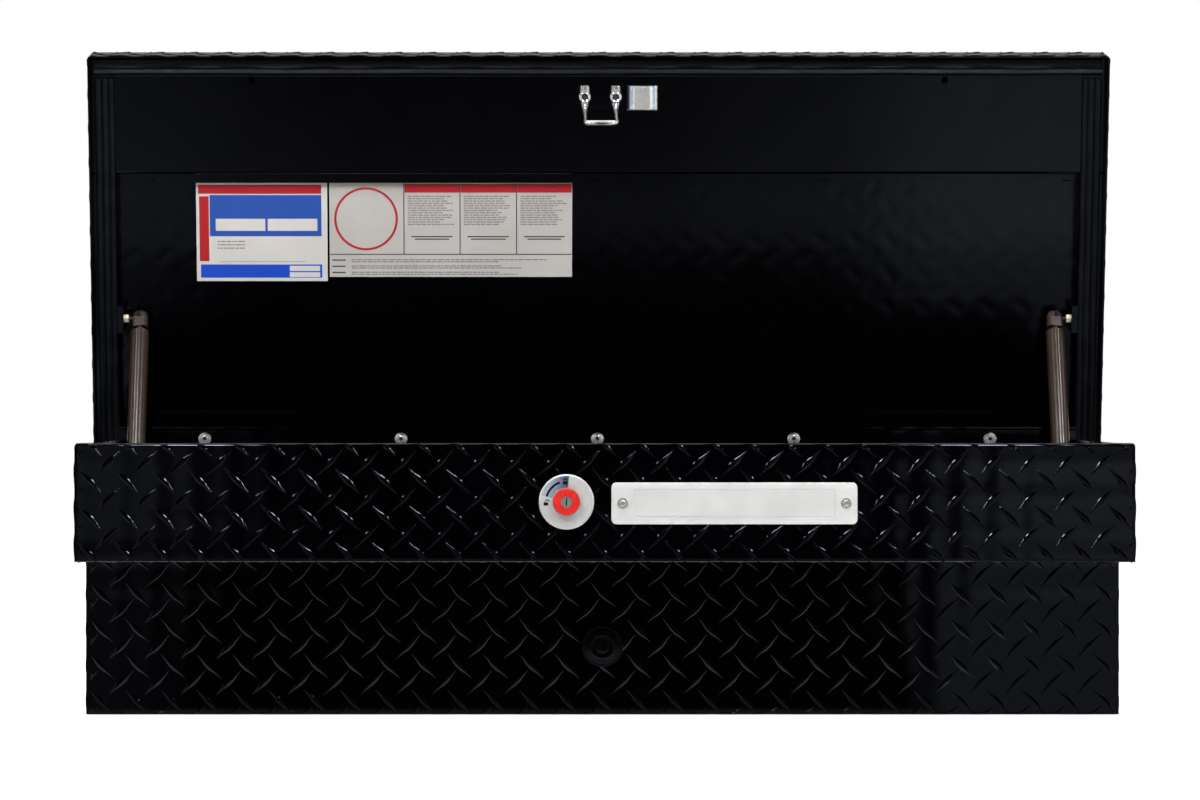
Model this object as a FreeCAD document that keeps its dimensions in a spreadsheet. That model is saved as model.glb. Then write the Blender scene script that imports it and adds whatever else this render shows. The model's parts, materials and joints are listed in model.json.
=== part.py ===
"""Low-side truck tool box: a stepped tread-plate tray whose front overhangs the truck's bed rail,
with a full-length hinged lid, gas struts, a push-button lock and a claw latch.

Frame: X along the box, -Y to the front, +Z up. The origin is the middle of the tub's flat bottom.
The lid is drawn open, as it stands when the struts hold it. Sizes are in millimetres and degrees.
"""
import FreeCAD, Part
import math
import os
import re

import Sketcher
from FreeCAD import Placement, Rotation, Vector

# Driving sizes: alias, value, meaning
SIZES = (
    ("body_length", 1158, "tray over its two end panels"),
    ("tub_depth", 310, "tub from front wall to rear wall, outside"),
    ("overhang", 137, "front band ahead of the tub's front wall"),
    ("shelf_height", 176, "underside of the shelf above the tub's bottom"),
    ("band_height", 130, "front band, from the shelf's underside to the rim"),
    ("rear_rise", 15, "rear wall's edge above the rim"),
    ("rear_inset", 9.5, "rear wall's raised edge, short of the tray's end"),
    ("rear_flange", 12, "inward fold on the rear wall's edge"),
    ("sheet", 2, "sheet thickness"),
    ("bend", 4, "outside radius of a fold"),
    ("rim_width", 20, "flat rim that the seals close on"),
    ("rim_lip", 8, "downturned lip of the front rim"),
    ("corner_return", 5, "end panel's return on the front face"),
    ("shelf_tail", 15, "shelf's downward flange inside the tub"),
    ("plug_height", 77, "rubber plug above the tub's bottom"),
    ("plug_radius", 23, "rubber plug's face"),
    ("plug_hole_radius", 19, "hole under the rubber plug"),
    ("mount_inset", 129, "shelf bolt holes from the tray's ends"),
    ("mount_spacing_deep", 60, "shelf bolt holes across the shelf"),
    ("mount_hole_radius", 4.5, "shelf bolt hole"),
    ("lid_overlap", 21, "lid's side skirts beyond the tray's ends"),
    ("lid_front", 18.6, "lid's front skirt ahead of the front band"),
    ("skirt_height", 48, "lid's skirts"),
    ("skirt_overlap", 12, "lid skirt's edge below the tray's rim when shut"),
    ("lid_open_angle", 79.5, "opening angle held by the struts"),
    ("stiffener_width", 140, "front channel, from the front skirt to its back wall"),
    ("stiffener_foot", 10, "channel's foot on the lid plate"),
    ("rail_width", 27.4, "side channels, from the side skirt to their inner wall"),
    ("rail_start", 8, "side channels' and seals' rear end, ahead of the hinge axis"),
    ("seal_width", 21, "front seal"),
    ("seal_edge", 3, "front seal's gap to the front skirt"),
    ("side_seal_edge", 4.7, "side seal's gap to the side skirt"),
    ("seal_gap", 0.3, "seals' crests above the rim when shut"),
    ("seal_thickness", 6.7, "seal strip over its ribs"),
    ("rib_depth", 1.6, "valleys between the seal's ribs"),
    ("slot_inset", 192, "drain slots from the lid's sides"),
    ("slot_width", 7, "drain slot along the lid"),
    ("slot_length", 9, "drain slot across the channel"),
    ("knuckle_radius", 4, "hinge knuckle"),
    ("hinge_gap", 0.4, "knuckle to the wall beside it"),
    ("hinge_inset", 27, "hinge short of the tray's ends"),
    ("knuckle_gap", 0.4, "between two knuckles"),
    ("leaf", 1.6, "hinge leaf thickness"),
    ("leaf_height", 21, "hinge leaf above the axis"),
    ("leaf_clearance", 0.8, "leaf plate's lower edge above the knuckles"),
    ("pin_radius", 2, "hinge pin"),
    ("pin_fit", 0.05, "radial running clearance"),
    ("pin_head", 3, "hinge pin's head radius"),
    ("rivet_end", 84.6, "first hinge rivet from the hinge's end"),
    ("rivet_drop", 13, "hinge rivets below the rear wall's edge"),
    ("rivet_stagger", 48, "lid's hinge rivets beside the wall's"),
    ("rivet_shank", 3.2, "hinge rivet shank radius"),
    ("rivet_flange", 8.3, "hinge rivet flange radius"),
    ("rivet_dome", 2.6, "hinge rivet head height"),
    ("striker_offset", 2.5, "striker and claw from the middle, along X"),
    ("striker_span", 36.5, "between the striker's legs"),
    ("striker_wire", 3.5, "striker wire radius"),
    ("striker_setback", 72.5, "striker bar behind the lid's front face"),
    ("striker_lift", 1, "striker bar above the lock's middle when shut"),
    ("foot_setback", 65, "striker's legs behind the lid's front face, at the panel"),
    ("striker_bend", 6, "bend radius of the striker's wire"),
    ("foot_width", 12, "flattened foot across"),
    ("foot_length", 32, "flattened foot along the panel"),
    ("foot_thickness", 3, "flattened foot"),
    ("foot_rivet_setback", 50, "striker rivets behind the lid's front face"),
    ("foot_rivet_radius", 5, "striker rivet head"),
    ("catch_offset", 51.8, "catch plate's middle, along X"),
    ("catch_width", 35.8, "catch plate along X"),
    ("catch_length", 30, "catch plate across the panel"),
    ("catch_rise", 5, "catch plate above the panel"),
    ("catch_setback", 51, "catch plate's middle behind the lid's front face"),
    ("catch_sheet", 1.5, "catch plate thickness"),
    ("card_thickness", 0.3, "printed cards"),
    ("card_clearance", 4, "cards' upper edge from the front channel's foot"),
    ("card_inset", 93.1, "left card from the left side channel"),
    ("card_gap", 2.5, "between the two cards"),
    ("record_card_width", 156, "left card along X"),
    ("record_card_height", 118, "left card across the lid"),
    ("ruled_card_width", 289, "right card along X"),
    ("ruled_card_height", 113, "right card across the lid"),
    ("strut_inset", 35, "strut axis from the tray's end"),
    ("strut_reach", 154.6, "lid ball stud ahead of the hinge axis"),
    ("strut_depth", 22, "lid ball stud above the skirt's edge plane"),
    ("strut_length", 400, "strut between ball centres, lid open"),
    ("strut_lean_angle", 22, "strut from upright, lid open"),
    ("tube_radius", 11, "gas cylinder, outside"),
    ("tube_wall", 1, "gas cylinder wall"),
    ("tube_start", 16, "cylinder's closed end from the upper ball"),
    ("tube_length", 200, "gas cylinder"),
    ("tube_cap", 4, "cylinder's closed end"),
    ("gland_length", 10, "rod guide in the cylinder's lower end"),
    ("rod_radius", 5, "strut rod"),
    ("piston_gap", 0.4, "piston's radial clearance"),
    ("piston_margin", 2, "piston above the rod guide, lid open"),
    ("piston_length", 8, "piston"),
    ("ball_radius", 5, "ball stud's ball"),
    ("stud_radius", 3, "ball stud's shank"),
    ("collar_radius", 5.3, "ball stud's hex collar"),
    ("collar_gap", 0.6, "socket to the stud's collar"),
    ("collar_length", 9.6, "collar along the stud"),
    ("stud_gap", 0.5, "lower stud's end to the tray bracket"),
    ("socket_radius", 9.4, "end socket"),
    ("socket_length", 12, "end socket below the ball's centre"),
    ("block_half", 16, "lid mounting block, half its length"),
    ("bracket_half", 18, "tray bracket, half its width"),
    ("bracket_height", 40, "tray bracket"),
    ("bracket_sheet", 3, "tray bracket thickness"),
    ("lock_offset", -42, "lock's middle, along X"),
    ("lock_lift", 1, "lock's middle above the band's middle"),
    ("bezel_radius", 30.1, "lock bezel"),
    ("bezel_thickness", 5, "lock bezel"),
    ("bezel_bevel", 1.5, "lock bezel's bevel"),
    ("button_radius", 14.6, "push button"),
    ("button_gap", 0.3, "button's radial clearance"),
    ("button_rise", 7, "button's face ahead of the bezel"),
    ("button_travel", 6, "button's travel"),
    ("button_collar", 16, "button's collar radius"),
    ("collar_thickness", 4, "button's collar"),
    ("key_radius", 6.25, "key plug"),
    ("key_length", 16, "key plug"),
    ("barrel_wall", 2.2, "lock barrel's wall"),
    ("barrel_length", 26, "lock barrel behind the band's face"),
    ("plunger_radius", 5, "button's plunger"),
    ("plunger_rise", 1, "plunger beyond the lock barrel"),
    ("plunger_gap", 0.3, "pushed plunger to the pawl's arm"),
    ("nut_radius", 25, "lock nut over its corners"),
    ("nut_thickness", 6, "lock nut"),
    ("frame_sheet", 2.5, "latch frame's sheet"),
    ("claw_thickness", 6, "claw and pawl"),
    ("claw_swing_angle", 18, "claw's turn from open to latched"),
    ("claw_back", 8, "claw's pin behind the latched bar"),
    ("claw_below", 22, "claw's pin below the latched bar"),
    ("claw_pin_radius", 4, "claw's pin"),
    ("pawl_swing_angle", 8.13, "pawl's turn from held to engaged"),
    ("pawl_ahead", 31.5, "pawl's shaft ahead of the claw's pin"),
    ("pawl_below", 7, "pawl's shaft below the claw's pin"),
    ("pawl_shaft_radius", 4, "pawl's shaft"),
    ("plate_gap", 19, "lock bezel to the nameplate"),
    ("plate_lift", -0.7, "nameplate's middle above the band's middle"),
    ("plate_width", 268.2, "nameplate"),
    ("plate_height", 45.6, "nameplate"),
    ("plate_thickness", 1.5, "nameplate"),
    ("plate_corner", 3.5, "nameplate's corner radius"),
    ("plate_rivet_inset", 12.3, "nameplate rivets from the plate's ends"),
    ("plate_rivet_radius", 6, "nameplate rivet head"),
    ("plate_rivet_rise", 3, "nameplate rivet head"),
    ("plate_rivet_shank", 2.4, "nameplate rivet shank"),
)
RIVET_COUNT = 5
KNUCKLES = 23
SEAL_RIBS = 5
ALIASES = {alias for alias, value, meaning in SIZES}

# Places that several pieces share, as formulas of the driving sizes
HALF = "(body_length / 2)"
TUB_FRONT = "(-tub_depth / 2)"
TUB_REAR = "(tub_depth / 2)"
BAND = "(-tub_depth / 2 - overhang)"
RIM = "(shelf_height + band_height)"
REAR_EDGE = "(shelf_height + band_height + rear_rise)"
RIVET_HEIGHT = "(shelf_height + band_height + rear_rise - rivet_drop)"
PIVOT_Y = "(tub_depth / 2 + knuckle_radius + hinge_gap)"
PIVOT_Z = "(shelf_height + band_height - skirt_overlap)"
LID_HALF = "(body_length / 2 + lid_overlap)"
LID_INSIDE = "(body_length / 2 + lid_overlap - sheet)"
LID_REACH = "(tub_depth + overhang + knuckle_radius + hinge_gap + lid_front)"
LID_UNDER = "(skirt_height - sheet)"
PANEL = "(skirt_overlap + seal_gap + seal_thickness)"
SKIRT_INSIDE = f"({LID_REACH} - sheet)"
CHANNEL_BACK = f"({SKIRT_INSIDE} - stiffener_width)"
RAIL_INSIDE = f"({LID_INSIDE} - rail_width)"
HINGE_LENGTH = "(body_length - 2 * hinge_inset)"
LEAF_START = "(knuckle_radius + leaf_clearance)"
CARD_TOP = f"({CHANNEL_BACK} - stiffener_foot - card_clearance)"
STRUT_X = "(body_length / 2 - strut_inset)"
COLLAR_START = "(socket_radius + collar_gap)"
COLLAR_END = "(socket_radius + collar_gap + collar_length)"
LOCK_Z = "(shelf_height + band_height / 2 + lock_lift)"
PLATE_X = "(lock_offset + bezel_radius + plate_gap + plate_width / 2)"
PLATE_Z = "(shelf_height + band_height / 2 + plate_lift)"
PLUNGER_END = "(barrel_length + plunger_rise)"
BAR_Y = "(-tub_depth / 2 - overhang - lid_front + striker_setback)"
BAR_Z = f"({LOCK_Z} + striker_lift)"
CLAW_Y = f"({BAR_Y} + claw_back)"
CLAW_Z = f"({BAR_Z} - claw_below)"
PAWL_Y = f"({CLAW_Y} - pawl_ahead)"
PAWL_Z = f"({CLAW_Z} - pawl_below)"
STUD_X = "striker_offset - 16.5"
BORE = "(button_collar + button_gap)"
BARREL = "(button_collar + button_gap + barrel_wall)"

doc = FreeCAD.newDocument("ToolBox")
sheet = doc.addObject("Spreadsheet::Sheet", "Sizes")
for row, (alias, value, meaning) in enumerate(SIZES, start=1):
    sheet.set(f"A{row}", meaning)
    sheet.set(f"B{row}", str(value))
    sheet.setAlias(f"B{row}", alias)
doc.recompute()

pieces = {}


def bound(text):
    """The formula with each size's alias written as a reference to the sheet."""
    def reference(match):
        word = match.group()
        return f"Sizes.{word}" if word in ALIASES else word
    return re.sub(r"[a-z][a-z_]*[a-z]", reference, str(text))


def size(text):
    """The formula's value now, as a plain number."""
    value = sheet.evalExpression(bound(text))
    return float(getattr(value, "Value", value))


def bind(item, **formulas):
    """Tie properties of an object to formulas."""
    for name, text in formulas.items():
        item.setExpression(name, bound(text))


def keep(node, item, place=None):
    """Give a finished sub-part its label and, where it needs one, its placement."""
    item.Label = node
    if place is not None:
        item.Placement = place
    pieces[node] = item
    return item


def at(x=0, y=0, z=0, axis=None, angle=0):
    """A placement from formulas, turned about an axis by a formula in degrees."""
    turn = Rotation(Vector(*axis), size(angle)) if axis else Rotation()
    return Placement(Vector(size(x), size(y), size(z)), turn)


ALONG_X = (1, 0, 0)
LID = at(0, PIVOT_Y, PIVOT_Z, ALONG_X, "-lid_open_angle")
FACING_BACK = Rotation(Vector(*ALONG_X), -90)


def box(name, low, high):
    """A block between two corners given as formulas."""
    item = doc.addObject("Part::Box", name)
    spans = [f"({b}) - ({a})" for a, b in zip(low, high)]
    bind(item, Length=spans[0], Width=spans[1], Height=spans[2])
    for axis, text in zip("xyz", low):
        item.setExpression(f"Placement.Base.{axis}", bound(text))
    return item


def cylinder(name, start, axis, radius, length):
    """A round bar from a start point along an axis letter."""
    item = doc.addObject("Part::Cylinder", name)
    turns = {"x": Rotation(Vector(0, 1, 0), 90), "y": FACING_BACK, "z": Rotation()}
    item.Placement = Placement(Vector(), turns[axis])
    bind(item, Radius=radius, Height=length)
    for letter, text in zip("xyz", start):
        item.setExpression(f"Placement.Base.{letter}", bound(text))
    return item


def joined(name, items):
    """One solid from several that touch or overlap."""
    item = doc.addObject("Part::MultiFuse", name)
    item.Shapes = items
    item.Refine = True
    return item


def group(name, items):
    """Several separate solids that share one node."""
    item = doc.addObject("Part::Compound", name)
    item.Links = items
    return item


def cut(name, base, tools):
    """The base less every tool."""
    tool = tools[0] if len(tools) == 1 else joined(f"{name}_tools", tools)
    item = doc.addObject("Part::Cut", name)
    item.Base = base
    item.Tool = tool
    return item


def new_body(name):
    """An empty body."""
    return doc.addObject("PartDesign::Body", name)


def outline(body, plane, corners, lift="0"):
    """A closed sketch through corners, each a pair of formulas, on one of the body's origin planes."""
    sketch = body.newObject("Sketcher::SketchObject", f"{body.Name}_outline")
    support = next(f for f in body.Origin.OriginFeatures if f.Role == f"{plane}_Plane")
    sketch.AttachmentSupport = [(support, "")]
    sketch.MapMode = "FlatFace"
    sketch.setExpression("AttachmentOffset.Base.z", bound(lift))
    points = [Vector(size(a), size(b), 0) for a, b in corners]
    count = len(points)
    for i, point in enumerate(points):
        sketch.addGeometry(Part.LineSegment(point, points[(i + 1) % count]), False)
    for i in range(count):
        sketch.addConstraint(Sketcher.Constraint("Coincident", i, 2, (i + 1) % count, 1))
    for i, (a, b) in enumerate(corners):
        for kind, text, value in (("DistanceX", a, points[i].x), ("DistanceY", b, points[i].y)):
            index = sketch.addConstraint(Sketcher.Constraint(kind, -1, 1, i, 1, value))
            sketch.setExpression(f"Constraints[{index}]", bound(text))
    return sketch


def pad(body, sketch, length, midplane=False, reverse=False):
    """Extrude a sketch by a formula."""
    item = body.newObject("PartDesign::Pad", f"{body.Name}_pad")
    item.Profile = sketch
    bind(item, Length=length)
    item.Midplane = midplane
    item.Reversed = reverse
    doc.recompute()
    return item


def pocket(body, sketch, depth, reverse=False):
    """Sink a sketch by a formula, and make sure that it removes something."""
    before = body.Shape.Volume
    item = body.newObject("PartDesign::Pocket", f"{body.Name}_pocket")
    item.Profile = sketch
    bind(item, Length=depth)
    item.Reversed = reverse
    doc.recompute()
    if body.Shape.Volume >= before:
        raise RuntimeError(f"{item.Name} cuts nothing")
    return item


def edges_where(shape, **fixed):
    """Names of straight edges whose ends both lie at the given coordinates."""
    wanted = {axis: size(text) for axis, text in fixed.items()}
    names = []
    for number, edge in enumerate(shape.Edges, start=1):
        ends = [vertex.Point for vertex in edge.Vertexes]
        if len(ends) == 2 and isinstance(edge.Curve, Part.Line):
            if all(abs(getattr(p, axis) - v) < 1e-4 for p in ends for axis, v in wanted.items()):
                names.append(f"Edge{number}")
    return names


def round_edges(body, radius, *places):
    """Fillet the edges found at each place of the body's last feature."""
    base = body.Tip
    names = []
    for place in places:
        names += edges_where(base.Shape, **place)
    item = body.newObject("PartDesign::Fillet", f"{body.Name}_fillet")
    item.Base = (base, names)
    bind(item, Radius=radius)
    doc.recompute()
    return item


def folded(name, plane, corners, length, folds, midplane=True, reverse=False):
    """A folded sheet: its section extruded, then its folds rounded. folds maps a radius to corners."""
    body = new_body(name)
    pad(body, outline(body, plane, corners), length, midplane, reverse)
    axes = {"YZ": "yz", "XZ": "xz", "XY": "xy"}[plane]
    for radius, numbers in folds.items():
        places = [dict(zip(axes, corners[number])) for number in numbers]
        round_edges(body, radius, *places)
    return body


def turned(name, profile):
    """A turned piece: pairs of radius and height, revolved about the local Z axis."""
    body = new_body(name)
    sketch = outline(body, "XZ", profile)
    item = body.newObject("PartDesign::Revolution", f"{name}_turn")
    item.Profile = sketch
    item.ReferenceAxis = (sketch, ["V_Axis"])
    item.Angle = 360
    doc.recompute()
    return body


def rivet(name, x, y, z, axis, sign, flange, dome, shank, grip):
    """A rivet whose flange faces sign times its axis, with a flattened tail behind the grip."""
    head = doc.addObject("Part::Ellipsoid", f"{name}_head")
    bind(head, Radius1=dome, Radius2=flange)
    head.Angle1 = 0
    turns = {("y", -1): Rotation(Vector(1, 0, 0), 90), ("y", 1): Rotation(Vector(1, 0, 0), -90),
             ("z", -1): Rotation(Vector(1, 0, 0), 180), ("z", 1): Rotation()}
    head.Placement = Placement(Vector(), turns[(axis, sign)])
    for letter, text in zip("xyz", (x, y, z)):
        head.setExpression(f"Placement.Base.{letter}", bound(text))
    body = [x, y, z]
    tail = [x, y, z]
    index = "xyz".index(axis)
    body[index] = f"{body[index]} - {grip}" if sign > 0 else body[index]
    tail[index] = f"{tail[index]} - {grip} - {shank}" if sign > 0 else f"{tail[index]} + {grip}"
    stem = cylinder(f"{name}_stem", body, axis, shank, grip)
    back = cylinder(f"{name}_tail", tail, axis, f"{shank} * 1.5", shank)
    return joined(name, [head, stem, back])


def spaced(count, spacing):
    """Formulas for count places along X, evenly spaced about the middle."""
    return [f"({i - (count - 1) / 2}) * {spacing}" for i in range(count)]


WALL_RIVETS = spaced(RIVET_COUNT, f"({HINGE_LENGTH} - 2 * rivet_end) / {RIVET_COUNT - 1}")
PLATE_RIVETS = spaced(2, "(plate_width - 2 * plate_rivet_inset)")
FOOT_RIVETS = [f"striker_offset + {x}" for x in spaced(2, "striker_span")]
SKIRT_RIVETS = [f"{x} + rivet_stagger" for x in WALL_RIVETS]
SKIRT_RIVET_HEIGHT = "(leaf_height - rivet_flange)"


# Tray
def make_tub_wrap():
    """Tub's front wall, floor and rear wall, folded from one sheet."""
    corners = [
        (TUB_FRONT, "shelf_height"), (TUB_FRONT, "0"), (TUB_REAR, "0"), (TUB_REAR, REAR_EDGE),
        (f"{TUB_REAR} - rear_flange", REAR_EDGE), (f"{TUB_REAR} - rear_flange", f"{REAR_EDGE} - sheet"),
        (f"{TUB_REAR} - sheet", f"{REAR_EDGE} - sheet"), (f"{TUB_REAR} - sheet", "sheet"),
        (f"{TUB_FRONT} + sheet", "sheet"), (f"{TUB_FRONT} + sheet", "shelf_height")]
    folds = {"bend": (1, 2, 3), "bend - sheet": (6, 7, 8)}
    wrap = folded("tub_sheet", "YZ", corners, "body_length - 2 * sheet", folds)
    low, high = f"{HALF} - rear_inset", HALF
    tools = []
    for name, left, right in (("right", low, high), ("left", f"-{high}", f"-({low})")):
        tools.append(box(f"rear_{name}_step", (left, TUB_REAR + " - rear_flange", RIM),
                         (right, TUB_REAR, REAR_EDGE)))
    tools.append(cylinder("plug_hole", ("0", TUB_FRONT, "plug_height"), "y", "plug_hole_radius", "sheet"))
    for i, x in enumerate(WALL_RIVETS):
        tools.append(cylinder(f"wall_hole_{i}", (x, f"{TUB_REAR} - sheet", RIVET_HEIGHT), "y",
                              "rivet_shank", "sheet"))
    keep("tub_wrap", cut("tub_wrap", wrap, tools))


def make_front_apron():
    """Front rim, band, shelf over the bed rail and tail flange, folded from one sheet."""
    corners = [
        (f"{BAND} + rim_width", f"{RIM} - rim_lip"), (f"{BAND} + rim_width", RIM), (BAND, RIM),
        (BAND, "shelf_height"), (f"{TUB_FRONT} + sheet", "shelf_height"),
        (f"{TUB_FRONT} + sheet", "shelf_height - shelf_tail"),
        (f"{TUB_FRONT} + 2 * sheet", "shelf_height - shelf_tail"),
        (f"{TUB_FRONT} + 2 * sheet", "shelf_height + sheet"), (f"{BAND} + sheet", "shelf_height + sheet"),
        (f"{BAND} + sheet", f"{RIM} - sheet"), (f"{BAND} + rim_width - sheet", f"{RIM} - sheet"),
        (f"{BAND} + rim_width - sheet", f"{RIM} - rim_lip")]
    folds = {"bend": (1, 2, 3), "bend - sheet": (8, 9, 10)}
    apron = folded("apron_sheet", "YZ", corners, "body_length - 2 * sheet", folds)
    inner, outer = f"{HALF} - corner_return", HALF
    tools = []
    for name, left, right in (("right", inner, outer), ("left", f"-{outer}", f"-({inner})")):
        tools.append(box(f"apron_{name}_edge", (left, BAND, "shelf_height - sheet"),
                         (right, f"{BAND} + sheet", RIM)))
        tools.append(box(f"apron_{name}_rim", (left, BAND, f"{RIM} - rim_lip"),
                         (right, f"{BAND} + rim_width", RIM)))
    tools.append(cylinder("lock_hole", ("lock_offset", BAND, LOCK_Z), "y", f"{BARREL} + button_gap", "sheet"))
    for i, x in enumerate(PLATE_RIVETS):
        tools.append(cylinder(f"plate_hole_{i}", (f"{PLATE_X} + {x}", BAND, PLATE_Z), "y",
                              "plate_rivet_shank", "sheet"))
    for i, x in enumerate(spaced(2, "(body_length - 2 * mount_inset)")):
        for j, y in enumerate(spaced(2, "mount_spacing_deep")):
            place = (x, f"{TUB_FRONT} - overhang / 2 + {y}", "shelf_height")
            tools.append(cylinder(f"mount_hole_{i}{j}", place, "z", "mount_hole_radius", "sheet"))
    keep("front_apron", cut("front_apron", apron, tools))


def make_end_panel(side):
    """Stepped end plate with its rim and its narrow return on the front face."""
    name = "right_end_panel" if side > 0 else "left_end_panel"
    body = new_body(f"{name}_sheet")
    corners = [(BAND, "shelf_height"), (BAND, RIM), (TUB_REAR, RIM), (TUB_REAR, "0"), (TUB_FRONT, "0"),
               (TUB_FRONT, "shelf_height")]
    pad(body, outline(body, "YZ", corners), "rim_width", reverse=side < 0)
    below = "0 - bend"
    hollow = [(f"{BAND} + sheet", below), (f"{BAND} + sheet", f"{RIM} - sheet"),
              (f"{TUB_REAR} - sheet", f"{RIM} - sheet"), (f"{TUB_REAR} - sheet", f"{RIM} + bend"),
              (f"{TUB_REAR} + bend", f"{RIM} + bend"), (f"{TUB_REAR} + bend", below)]
    pocket(body, outline(body, "YZ", hollow), "rim_width - sheet", reverse=side > 0)
    front = [(f"{BAND} - bend", below), (f"{BAND} - bend", f"{RIM} + bend"),
             (f"{BAND} + rim_width", f"{RIM} + bend"), (f"{BAND} + rim_width", below)]
    pocket(body, outline(body, "YZ", front), "rim_width - corner_return", reverse=side > 0)
    outer = "rim_width" if side > 0 else "-rim_width"
    round_edges(body, "bend", {"x": outer, "z": RIM}, {"x": outer, "y": BAND}, {"y": BAND, "z": RIM},
                {"y": BAND, "z": "shelf_height"}, {"y": TUB_FRONT, "z": "0"}, {"y": TUB_REAR, "z": "0"})
    inner = f"{HALF} - rim_width"
    keep(name, body, at(inner if side > 0 else f"-({inner})"))


def make_tub_plug():
    """Round rubber plug: face, stepped rings, recessed middle and a lip inside the hole."""
    profile = [
        ("0", "0 - 1"), ("plug_radius * 0.4", "0 - 1"), ("plug_radius * 0.4", "0 - 3"),
        ("plug_radius * 0.7", "0 - 3.5"), ("plug_radius", "0 - 1.5"), ("plug_radius", "0"),
        ("plug_hole_radius", "0"), ("plug_hole_radius", "sheet"), ("plug_hole_radius + 1.5", "sheet"),
        ("plug_hole_radius", "sheet + 3"), ("plug_hole_radius - 3", "sheet + 3"),
        ("plug_hole_radius - 3", "1"), ("0", "1")]
    body = turned("tub_plug_body", profile)
    keep("tub_plug", body, at(0, TUB_FRONT, "plug_height", ALONG_X, -90))


def make_nameplate():
    """Plain plate with rounded corners and two rivets."""
    x0, x1 = f"{PLATE_X} - plate_width / 2", f"{PLATE_X} + plate_width / 2"
    z0, z1 = f"{PLATE_Z} - plate_height / 2", f"{PLATE_Z} + plate_height / 2"
    body = new_body("nameplate_blank")
    corners = [(x0, z0), (x1, z0), (x1, z1), (x0, z1)]
    pad(body, outline(body, "XZ", corners, f"-({BAND})"), "plate_thickness")
    round_edges(body, "plate_corner", *[dict(zip("xz", corner)) for corner in corners])
    holes = []
    rivets = []
    face = f"{BAND} - plate_thickness"
    for i, x in enumerate(PLATE_RIVETS):
        place = f"{PLATE_X} + {x}"
        holes.append(cylinder(f"nameplate_hole_{i}", (place, face, PLATE_Z), "y", "plate_rivet_shank",
                              "plate_thickness"))
        rivets.append(rivet(f"plate_rivet_{i}", place, face, PLATE_Z, "y", -1, "plate_rivet_radius",
                            "plate_rivet_rise", "plate_rivet_shank", "(plate_thickness + sheet)"))
    keep("nameplate", cut("nameplate", body, holes))
    keep("nameplate_rivets", group("nameplate_rivets", rivets))


# Lid, drawn shut about the hinge axis with -Y to the front, then turned open
def make_lid_shell():
    """Lid plate with a skirt on each side."""
    body = new_body("lid_sheet")
    half, back = LID_HALF, "knuckle_radius + hinge_gap + sheet"
    rim = [(f"-{half}", f"-{LID_REACH}"), (half, f"-{LID_REACH}"), (half, back), (f"-{half}", back)]
    pad(body, outline(body, "XY", rim), "skirt_height")
    corners = [dict(zip("xy", corner)) for corner in rim]
    top = [{"x": half, "z": "skirt_height"}, {"x": f"-{half}", "z": "skirt_height"},
           {"y": f"-{LID_REACH}", "z": "skirt_height"}, {"y": back, "z": "skirt_height"}]
    round_edges(body, "bend", *corners, *top)
    low, high = f"-{SKIRT_INSIDE}", "knuckle_radius + hinge_gap"
    inside = [(f"-{LID_INSIDE}", low), (LID_INSIDE, low), (LID_INSIDE, high), (f"-{LID_INSIDE}", high)]
    pocket(body, outline(body, "XY", inside), LID_UNDER, reverse=True)
    holes = []
    for i, x in enumerate(SKIRT_RIVETS):
        holes.append(cylinder(f"skirt_hole_{i}", (x, high, SKIRT_RIVET_HEIGHT), "y", "rivet_shank", "sheet"))
    keep("lid_shell", cut("lid_shell", body, holes), LID)


def make_stiffener():
    """Full-width channel behind the front skirt, with its foot, drain slots and rivet holes."""
    front, back = f"-{SKIRT_INSIDE}", f"-{CHANNEL_BACK}"
    corners = [
        (front, LID_UNDER), (front, PANEL), (back, PANEL), (back, f"{LID_UNDER} - sheet"),
        (f"{back} + stiffener_foot", f"{LID_UNDER} - sheet"), (f"{back} + stiffener_foot", LID_UNDER),
        (f"{back} - sheet", LID_UNDER), (f"{back} - sheet", f"{PANEL} + sheet"),
        (f"{front} + sheet", f"{PANEL} + sheet"), (f"{front} + sheet", LID_UNDER)]
    folds = {"bend": (1, 2), "bend - sheet": (7, 8)}
    channel = folded("stiffener_sheet", "YZ", corners, f"2 * {LID_INSIDE}", folds)
    seal_inside = f"(-{SKIRT_INSIDE} + seal_edge + seal_width)"
    tools = []
    for side, sign in (("right", ""), ("left", "-")):
        middle = f"{sign}({LID_HALF} - slot_inset)"
        low = (f"{middle} - slot_width / 2", f"{seal_inside} - 1", PANEL)
        high = (f"{middle} + slot_width / 2", f"{seal_inside} + slot_length - 1", f"{PANEL} + sheet")
        tools.append(box(f"slot_{side}", low, high))
    ends = (("right", RAIL_INSIDE, LID_INSIDE), ("left", f"-{LID_INSIDE}", f"-{RAIL_INSIDE}"))
    for name, left, right in ends:
        tools.append(box(f"foot_{name}", (left, back, f"{LID_UNDER} - 2 * sheet"),
                         (right, f"{back} + stiffener_foot", LID_UNDER)))
    for i, x in enumerate(FOOT_RIVETS):
        tools.append(cylinder(f"striker_hole_{i}", (x, f"foot_rivet_setback - {LID_REACH}", PANEL), "z",
                              "plate_rivet_shank", "sheet"))
    keep("lid_stiffener", cut("lid_stiffener", channel, tools), LID)


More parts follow.
